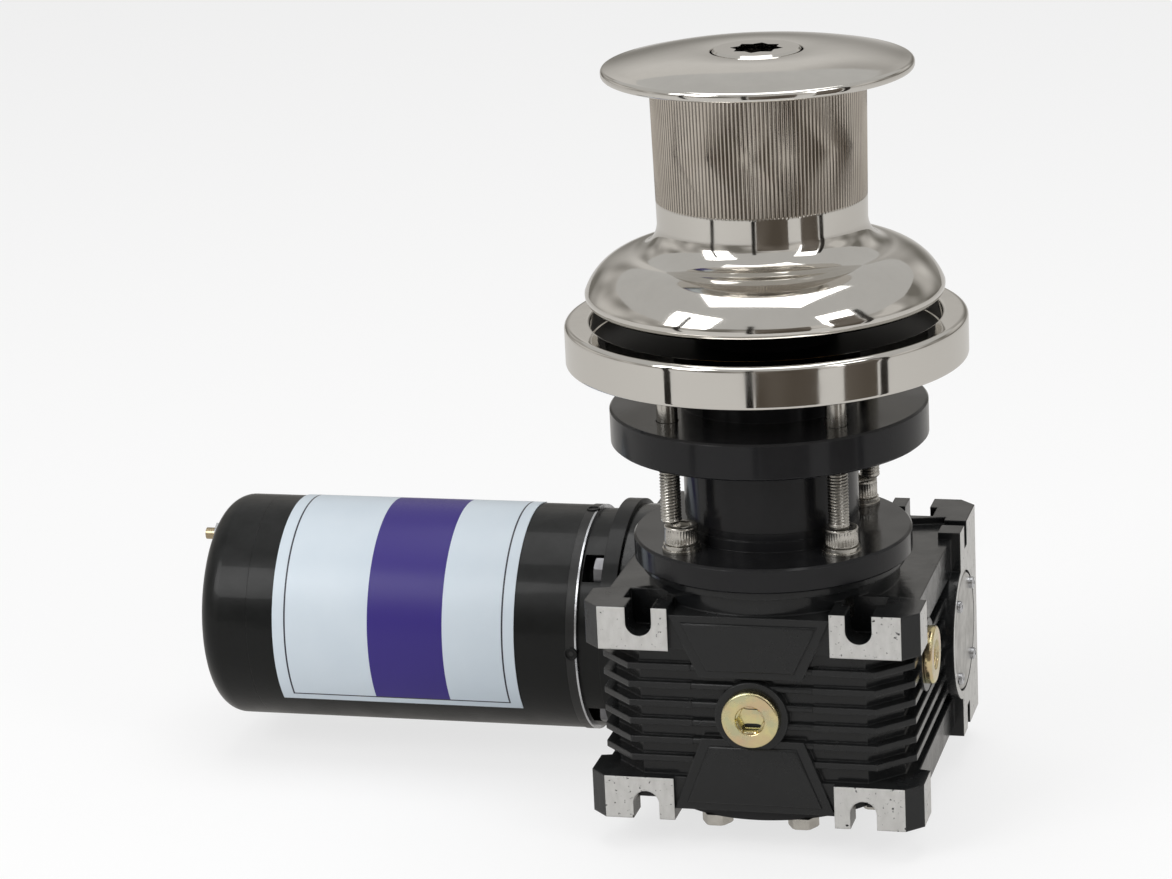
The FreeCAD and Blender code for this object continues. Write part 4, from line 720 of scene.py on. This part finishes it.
# ---------- drum and deck ring
def drum_profile():
    """Skirt, neck, top disc and bore, each neck row with its share of the flutes."""
    p = Profile().to(79.5, 29.0).to(82.2, 29.0).to(82.5, 29.05)
    p.arc((84.0, 30.9), (84.5, 34.0), 8).arc((77.4, 44.7), (62.5, 52.2), 22)
    p.arc((53.2, 56.6), (49.3, 66.0), 16).to(neck_r(76.0), 76.0)
    for z, share in ((76.6, 0.0), (77.0, 0.5), (77.6, 1.0), (105.0, 1.0), (132.4, 1.0), (133.0, 0.5),
                     (133.4, 0.0)):
        p.to(neck_r(z), z, groove=share)
    p.to(50.5, 134.0).arc((51.0, 135.1), (52.1, 135.6), 4).to(53.0, 135.6).to(70.2, 135.6)
    p.to(70.7, 135.6).arc((72.2, 136.2), (72.7, 137.6), 5).to(72.7, 138.2)
    p.arc((72.2, 139.6), (70.8, 140.25), 5).to(70.2, 140.35)
    p.arc((47.1, 144.68), (22.3, 145.75), 14).arc((21.7, 145.6), (21.5, 145.2), 3).to(21.5, 144.6)
    for r, z in ((21.5, 123.5), (21.0, 123.5), (17.2, 112.2), (17.2, 100.0), (18.1, 100.0),
                 (18.1, 44.6), (30.3, 44.6), (36.8, 30.0), (44.0, 30.0), (44.0, 46.0), (60.0, 46.0),
                 (76.0, 36.0), (76.0, 32.0), (79.0, 29.0)):
        p.to(r, z)
    return p.closed()


drum = turned("capstan_drum", drum_profile(), stainless_drum, Segments=FLUTES * 4, Grooves=FLUTES,
              Groove_Depth=FLUTE_DEPTH * MM, Crease=0.75)


def ring_profile():
    """Flat ring with rounded edges, a well on top and a hub round the shaft."""
    p = Profile().to(20.2, 4.0).to(41.6, 4.0).to(41.6, 0.0).to(42.2, 0.0).to(93.2, 0.0)
    p.to(94.0, 0.0).arc((94.7, 0.3), (95.0, 1.0), 4).to(95.0, 1.6).to(95.0, 16.6).to(95.0, 17.4)
    p.arc((94.25, 19.2), (92.4, 20.0), 7).to(91.8, 20.0).to(84.6, 20.0).to(84.0, 20.0)
    p.arc((83.3, 19.7), (83.0, 19.0), 4).to(83.0, 18.4).to(83.0, 10.6).to(83.0, 10.0)
    for r, z in ((82.4, 10.0), (34.0, 10.0), (34.0, 22.0), (20.2, 22.0)):
        p.to(r, z)
    return p.closed()


ring = turned("deck_ring_polished", ring_profile(), stainless_ring, Segments=256)


# ---------- studs and cap screws
STUD_END_Z, STUD_TOP_Z = (corner.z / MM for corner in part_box("deck_studs"))
STUD_R, STUD_CIRCLE_R, STUD_TURN = 5.0, 56.5, 45.0
THREAD_TOP_Z, THREAD_PITCH, THREAD_DEPTH, ROWS_PER_TURN = -40.5, 1.5, 0.75, 8
SCREW_SEAT_Z, SCREW_CIRCLE_R, SCREW_TURN = -81.5, 53.5, 48.5
KNURLS, KNURL_DEPTH = 36, 0.35


def stud_profile():
    """Stud with a chamfered end; its thread runs in and out over one turn."""
    p = Profile().to(0, STUD_END_Z).to(STUD_R - 1.1, STUD_END_Z).to(STUD_R - 0.1, STUD_END_Z + 1.0)
    thread_z = STUD_END_Z + 1.4
    rows = int((THREAD_TOP_Z - thread_z) / THREAD_PITCH * ROWS_PER_TURN)
    for i in range(rows + 1):
        share = min(1.0, i / ROWS_PER_TURN, (rows - i) / ROWS_PER_TURN)
        p.to(STUD_R, thread_z + i * THREAD_PITCH / ROWS_PER_TURN, thread=share)
    return p.to(STUD_R, THREAD_TOP_Z + 1.0).to(STUD_R, STUD_TOP_Z).to(0, STUD_TOP_Z)


stud = turned("stud", stud_profile(), stainless_satin, Segments=28, Thread_Depth=THREAD_DEPTH * MM,
              Thread_Pitch=THREAD_PITCH * MM, Crease=0.9)
studs = run_tree("threaded_studs", stud.data, ON_CIRCLE, Count=4, Circle_Radius=STUD_CIRCLE_R * MM,
                 First_Angle=math.radians(STUD_TURN), Material=stainless_satin)
bpy.data.objects.remove(stud)


def screw_profile():
    """Cap screw from its seat at height 0: shank below, knurled head with a hexagon socket above."""
    p = Profile().to(0, -35.5).to(4.2, -35.5).to(5.0, -34.7).to(5.0, 0.0).to(7.4, 0.0)
    p.arc((7.8, 0.2), (8.0, 0.7), 2)
    for z, share in ((1.2, 0.0), (1.5, 1.0), (7.4, 1.0), (7.7, 0.0)):
        p.to(8.0, z, groove=share)
    p.to(8.0, 8.3).arc((7.8, 8.8), (7.3, 9.0), 3).to(5.2, 9.0)
    return p.to(4.9, 8.9, flat=1.0).to(4.62, 8.6, flat=1.0).to(4.62, 4.1, flat=1.0).to(0, 4.1)


screw = turned("cap_screw", screw_profile(), stainless_satin, Segments=KNURLS * 4, Grooves=KNURLS,
               Groove_Depth=KNURL_DEPTH * MM, Crease=0.9)
screws = run_tree("knurled_cap_screws", screw.data, ON_CIRCLE, Count=4, Circle_Radius=SCREW_CIRCLE_R * MM,
                  First_Angle=math.radians(SCREW_TURN), Height=SCREW_SEAT_Z * MM, Material=stainless_satin)
bpy.data.objects.remove(screw)


# ---------- oil plugs
FRONT_PLUG, SIDE_PLUG = (0, FRONT_Y + 1.0, GEAR_Z), (SIDE_X - 4.0, -14.0, -142.0)
SOCKET_R, SOCKET_FLOOR, SOCKET_RIM = 6.95, -3.0, 3.9


def plug_profile():
    """Flanged plug: domed rim, turned ring round a hexagon socket."""
    p = Profile().to(0, -8.0).to(10.2, -8.0).to(11.0, -7.2).to(11.0, 0.0).to(13.5, 0.0)
    p.arc((13.8, 0.15), (13.9, 0.5), 3).to(13.9, 2.6).arc((13.5, 3.6), (12.4, 4.0), 5)
    p.to(11.6, 4.0).to(9.2, 4.0).to(7.7, 4.0).arc((7.2, 3.85), (7.0, 3.5), 3)
    p.to(6.85, 3.1).to(6.7, 2.7, flat=1.0).to(6.6, 2.3, flat=1.0).to(6.6, -1.6, flat=1.0)
    return p.to(6.5, -2.0, flat=1.0).to(0, -2.6)


def placed_plug(name, turn, place):
    """Plug seated at a place; the inside of its socket is darker, as painted shade."""
    seat = Vector(place) * MM
    piece = turned(name, plug_profile(), plug_yellow, Segments=96, Turn=turn, Crease=0.5, Place=tuple(seat))
    piece.data.materials.append(plug_socket)
    axis = Euler(turn).to_matrix() @ Vector((0, 0, 1))
    # painted shade: faces inside the socket take the darker colour
    for face in piece.data.polygons:
        out = face.center - seat
        along = out.dot(axis)
        if (out - along * axis).length < SOCKET_R * MM and SOCKET_FLOOR * MM < along < SOCKET_RIM * MM:
            face.material_index = 1
    return piece


front_plug = placed_plug("front_oil_plug", FACING_FRONT, FRONT_PLUG)
side_plug = placed_plug("side_oil_plug", FACING_SIDE, SIDE_PLUG)


# ---------- relief on the casing's front
FIN_PITCH, FIN_T, FIN_COUNT = 9.2, 3.0, 6
FIN_HALF_LENGTH = 29.4          # just into the ends of the casing's own fins
FIN_BACK_Y, FIN_FACE_Y = FRONT_Y + 6.2, FRONT_Y + 3.0
PANEL_BACK_Y, PANEL_FACE_Y = FRONT_Y + 2.0, FRONT_Y + 0.4
PANEL_WIDE, PANEL_NARROW = 32.5, 21.0       # half widths of a panel's two ends
PANELS_Z = ((-113.5, -137.0), (-203.5, -174.5))     # heights of the wide and the narrow end
EDGE_ROUND = 0.9


def mesh_piece(name, work, finish):
    """Object from a filled bmesh, faces outwards, smooth but for its sharp edges."""
    mesh = bpy.data.meshes.new(name)
    bmesh.ops.recalc_face_normals(work, faces=work.faces)
    work.to_mesh(mesh)
    work.free()
    mesh.materials.append(finish)
    for face in mesh.polygons:
        face.use_smooth = True
    mesh.set_sharp_from_angle(angle=math.radians(40))
    return placed(name, mesh)


def rounded_prism(work, outline, back, front):
    """Closed block from back to face in Y: outline in X and Z, the edges of its face rounded."""
    rear = [work.verts.new((x * MM, back * MM, z * MM)) for x, z in outline]
    fore = [work.verts.new((x * MM, front * MM, z * MM)) for x, z in outline]
    count = len(outline)
    work.faces.new(rear)
    face = work.faces.new(fore[::-1])
    for i in range(count):
        j = (i + 1) % count
        work.faces.new((rear[i], rear[j], fore[j], fore[i]))
    bmesh.ops.bevel(work, geom=list(face.edges), offset=EDGE_ROUND * MM, segments=3, profile=0.5,
                    affect="EDGES")


def middle_fins():
    """Carries the casing's fins across the front, behind the plug's boss and the raised flats."""
    work = bmesh.new()
    for i in range(FIN_COUNT):
        z = GEAR_Z + (i - (FIN_COUNT - 1) / 2) * FIN_PITCH
        low, high, end = z - FIN_T / 2, z + FIN_T / 2, FIN_HALF_LENGTH
        outline = [(-end, low), (end, low), (end, high), (-end, high)]
        rounded_prism(work, outline, FIN_BACK_Y, FIN_FACE_Y)
    return mesh_piece("front_fins", work, casing_black)


def front_panels():
    """Bevelled panels on the two raised flats of the front."""
    work = bmesh.new()
    for wide_z, narrow_z in PANELS_Z:
        outline = [(-PANEL_WIDE, wide_z), (PANEL_WIDE, wide_z), (PANEL_NARROW, narrow_z),
                   (-PANEL_NARROW, narrow_z)]
        rounded_prism(work, outline, PANEL_BACK_Y, PANEL_FACE_Y)
    return mesh_piece("front_panels", work, casing_black)


# ---------- screws and label round the motor
SEAM_SCREW_X = -106.9
SEAM_RIM_R = (2.5, 3.05)        # bright rim of a seam screw's head


def seam_screws():
    """Four small screws that hold the casing to its front cap, black with a bright rim."""
    p = Profile().to(0, -0.6).to(3.3, -0.6).to(3.4, -0.4).to(3.4, 0.2).arc((3.3, 0.45), (3.0, 0.55), 3)
    p.to(2.6, 0.55).to(2.45, 0.4).to(2.45, 0.0).to(1.3, 0.0, flat=1.0).to(1.3, -0.3, flat=1.0).to(0, -0.3)
    one = turned("seam_screw", p, motor_black, Segments=48, Turn=FACING_SIDE, Crease=0.5)
    four = run_tree("casing_screws", one.data, ON_CIRCLE, Count=4, Circle_Radius=(MOTOR_R + 0.45) * MM,
                    Material=motor_black)
    bpy.data.objects.remove(one)
    centre = Vector((SEAM_SCREW_X * MM, *MOTOR_CENTRE))
    four.data.transform(Matrix.Translation(centre) @ Matrix.Rotation(math.pi / 2, 4, "Y"))
    four.data.materials.append(bright_zinc)
    for face in four.data.polygons:
        out = (face.center - centre) / MM
        if SEAM_RIM_R[0] < math.hypot(out.x, min(abs(out.y), abs(out.z))) < SEAM_RIM_R[1]:
            face.material_index = 1
    return four


def wrapped_label():
    """Thin printed film wrapped round the front and top of the casing."""
    work = bmesh.new()
    steps = 96
    low, high = (math.radians(a) for a in LABEL_ANGLES)
    corners = ((LABEL_X[0], LABEL_R[0]), (LABEL_X[1], LABEL_R[0]), (LABEL_X[1], LABEL_R[1]),
               (LABEL_X[0], LABEL_R[1]))
    rows = []
    for i in range(steps + 1):
        angle = low + (high - low) * i / steps
        rows.append([work.verts.new((x * MM, MOTOR_CENTRE[0] - r * MM * math.cos(angle),
                                     MOTOR_CENTRE[1] + r * MM * math.sin(angle))) for x, r in corners])
    for row, following in zip(rows, rows[1:]):
        for k in range(4):
            work.faces.new((row[k], row[(k + 1) % 4], following[(k + 1) % 4], following[k]))
    work.faces.new(rows[0])
    work.faces.new(rows[-1][::-1])
    return mesh_piece("label_film_wrapped", work, label_film)


# ---------- what each piece rides on and replaces
PIECES = (      # piece, body, the CAD node it stands for, and the CAD node given as its slot
    (drum, "drum", "drum", "drum"),
    (ring, "housing", "deck_ring", "deck_ring"),
    (studs, "housing", "deck_studs", "deck_studs"),
    (screws, "housing", "spool_screws", "spool_screws"),
    (front_plug, "housing", "oil_plugs", "oil_plugs"),
    (side_plug, "housing", "oil_plugs", "oil_plugs"),
    (middle_fins(), "housing", None, "gearbox_housing"),
    (front_panels(), "housing", None, "gearbox_housing"),
    (seam_screws(), "housing", None, "motor_flange_bolts"),
    (wrapped_label(), "housing", "motor_label", "motor_label"),
)
for piece, body, node, slot in PIECES:
    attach(piece, body)
    if node:
        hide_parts(node)


# ---------- camera, light and floor
def look(azimuth, elevation, distance, yaw, pitch, roll, lens):
    """Camera by where it stands round the part and which way it looks: degrees, metres, lens in mm."""
    az, el, yaw, pitch, roll = (math.radians(a) for a in (azimuth, elevation, yaw, pitch, roll))
    place = distance * Vector((math.sin(az) * math.cos(el), -math.cos(az) * math.cos(el), math.sin(el)))
    ahead = Vector((math.sin(yaw) * math.cos(pitch), math.cos(yaw) * math.cos(pitch), -math.sin(pitch)))
    right = ahead.cross(Vector((0, 0, 1))).normalized()
    up = right.cross(ahead)
    right, up = (math.cos(roll) * right + math.sin(roll) * up,
                 math.cos(roll) * up - math.sin(roll) * right)
    data = bpy.data.cameras.new("camera")
    data.sensor_width = 36.0
    data.lens = lens
    data.clip_start, data.clip_end = 0.01, 60.0
    camera = placed("camera", data)
    camera.matrix_world = Matrix.Translation(place) @ Matrix((right, up, -ahead)).transposed().to_4x4()
    bpy.context.scene.camera = camera


look(azimuth=12.1734, elevation=15.4533, distance=1.8349, yaw=-15.0, pitch=16.5983, roll=-2.7907,
     lens=119.343686)
LAMPS_AIM_AT = Vector((0, 0, -0.03))


def softbox(name, place, size, power):
    """Rectangular lamp aimed at the part, in metres and watts."""
    data = bpy.data.lights.new(name, "AREA")
    data.shape, data.size, data.size_y = "RECTANGLE", *size
    data.energy = power
    lamp = placed(name, data)
    lamp.location = place
    lamp.rotation_euler = (LAMPS_AIM_AT - Vector(place)).to_track_quat("-Z", "Y").to_euler()


softbox("softbox_left", (-1.3, -1.5, 1.3), (1.2, 1.2), 22)
softbox("softbox_right", (1.7, -0.9, 0.9), (0.8, 1.4), 12)
softbox("softbox_top", (0.0, 0.1, 2.0), (1.6, 1.6), 20)


def plane(name, corners, finish):
    mesh = bpy.data.meshes.new(name)
    mesh.from_pydata(corners, [], [tuple(range(len(corners)))])
    mesh.materials.append(finish)
    return placed(name, mesh)


def node_material(name):
    """New material, and what adds nodes to it."""
    material = bpy.data.materials.new(name)
    material.use_nodes = True
    return material, Nodes(material.node_tree)


def floor_finish():
    """Pale floor: white to the camera but for a soft shadow, and greyer in reflections."""
    material, n = node_material("pale_floor")
    shader = material.node_tree.nodes["Principled BSDF"]
    shader.inputs["Base Color"].default_value = (0.86, 0.86, 0.86, 1)
    shader.inputs["Roughness"].default_value = 0.85
    path = n.add("ShaderNodeLightPath")
    mirrored = path.outputs["Is Glossy Ray"]
    glow = n.add("ShaderNodeEmission", Color=n.blend(mirrored, (1, 1, 1, 1), (0.60, 0.58, 0.55, 1)),
                 Strength=1.0)
    seen = n.math("MAXIMUM", path.outputs["Is Camera Ray"],
                  n.math("MAXIMUM", mirrored, path.outputs["Is Transmission Ray"]))
    mixed = n.add("ShaderNodeMixShader")
    n.feed(mixed.inputs[0], n.times(seen, 0.72))
    n.feed(mixed.inputs[1], shader.outputs[0])
    n.feed(mixed.inputs[2], glow)
    n.feed(material.node_tree.nodes["Material Output"].inputs[0], mixed)
    return material


FLOOR_Z = cad_box[0].z - 0.05 * MM      # just clear of the part's underside
REACH = 14.0
floor = plane("floor", [(-REACH, -REACH, FLOOR_Z), (REACH, -REACH, FLOOR_Z), (REACH, REACH, FLOOR_Z),
                        (-REACH, REACH, FLOOR_Z)], floor_finish())


def glowing(name, low, high, scale):
    """Dim glow of a studio wall or card, uneven between two colours."""
    material, n = node_material(name)
    patch = n.span(n.noise(n.here(), scale, 1.0), 0.36, 0.64)
    colour = n.blend(patch, (*low, 1), (*high, 1))
    glow = n.add("ShaderNodeEmission", Color=colour, Strength=1.0)
    n.feed(material.node_tree.nodes["Material Output"].inputs[0], glow)
    return material


def mirror_only(thing):
    """Stage piece that is seen only in polished faces, and casts no shadow."""
    thing.visible_camera = False
    thing.visible_shadow = False
    thing.visible_diffuse = False


def room_walls(radius, low, high, count, finish):
    """Wall all round the studio, open above, in flat panels."""
    corners = [(radius * math.sin(math.tau * i / count), radius * math.cos(math.tau * i / count))
               for i in range(count)]
    for i, (x, y) in enumerate(corners):
        x2, y2 = corners[(i + 1) % count]
        mirror_only(plane("wall_%02d" % i, [(x, y, low), (x2, y2, low), (x2, y2, high), (x, y, high)],
                          finish))


room_walls(5.0, -0.2, 2.4, 12, glowing("room_wall", (0.20, 0.19, 0.17), (0.66, 0.64, 0.61), 0.4))
BLACK_CARD = glowing("black_card", (0.012, 0.011, 0.010), (0.03, 0.027, 0.024), 2.0)
BROWN_CARD = glowing("brown_card", (0.09, 0.075, 0.06), (0.16, 0.14, 0.12), 3.0)
CARDS_AWAY, CARD_FOOT = 0.62, -0.22     # metres from the part's axis, and above the deck face


def card(name, bearing, span, top, finish):
    """Upright card that faces the part from a bearing, so polished metal shows it as a streak.

    Bearing and span are in degrees, from the front towards the right."""
    a = math.radians(bearing)
    x, y = CARDS_AWAY * math.sin(a), -CARDS_AWAY * math.cos(a)
    half = CARDS_AWAY * math.radians(span) / 2
    dx, dy = half * math.cos(a), half * math.sin(a)
    mirror_only(plane(name, [(x - dx, y - dy, CARD_FOOT), (x + dx, y + dy, CARD_FOOT),
                             (x + dx, y + dy, top), (x - dx, y - dy, top)], finish))


card("flag_left", -42.0, 4.0, 0.55, BLACK_CARD)
card("flag_middle", 22.0, 34.0, 0.26, BROWN_CARD)
card("flag_middle_edge", 2.5, 4.0, 0.42, BLACK_CARD)
card("flag_right", 62.0, 20.0, 0.40, BROWN_CARD)
card("flag_right_edge", 76.0, 5.0, 0.50, BLACK_CARD)


def set_world():
    """White studio, dimmer as light than to the eye, and grey in reflections."""
    world = bpy.data.worlds.new("studio")
    bpy.context.scene.world = world
    world.use_nodes = True
    n = Nodes(world.node_tree)
    back = world.node_tree.nodes["Background"]
    path = n.add("ShaderNodeLightPath")
    seen = n.math("MAXIMUM", path.outputs["Is Camera Ray"],
                  n.math("MAXIMUM", path.outputs["Is Glossy Ray"], path.outputs["Is Transmission Ray"]))
    n.feed(back.inputs["Color"], n.blend(path.outputs["Is Glossy Ray"], (1, 1, 1, 1),
                                         (0.56, 0.555, 0.54, 1)))
    n.feed(back.inputs["Strength"], n.between(seen, 0.45, 1.0))


set_world()
bpy.context.scene.view_settings.view_transform = "Standard"
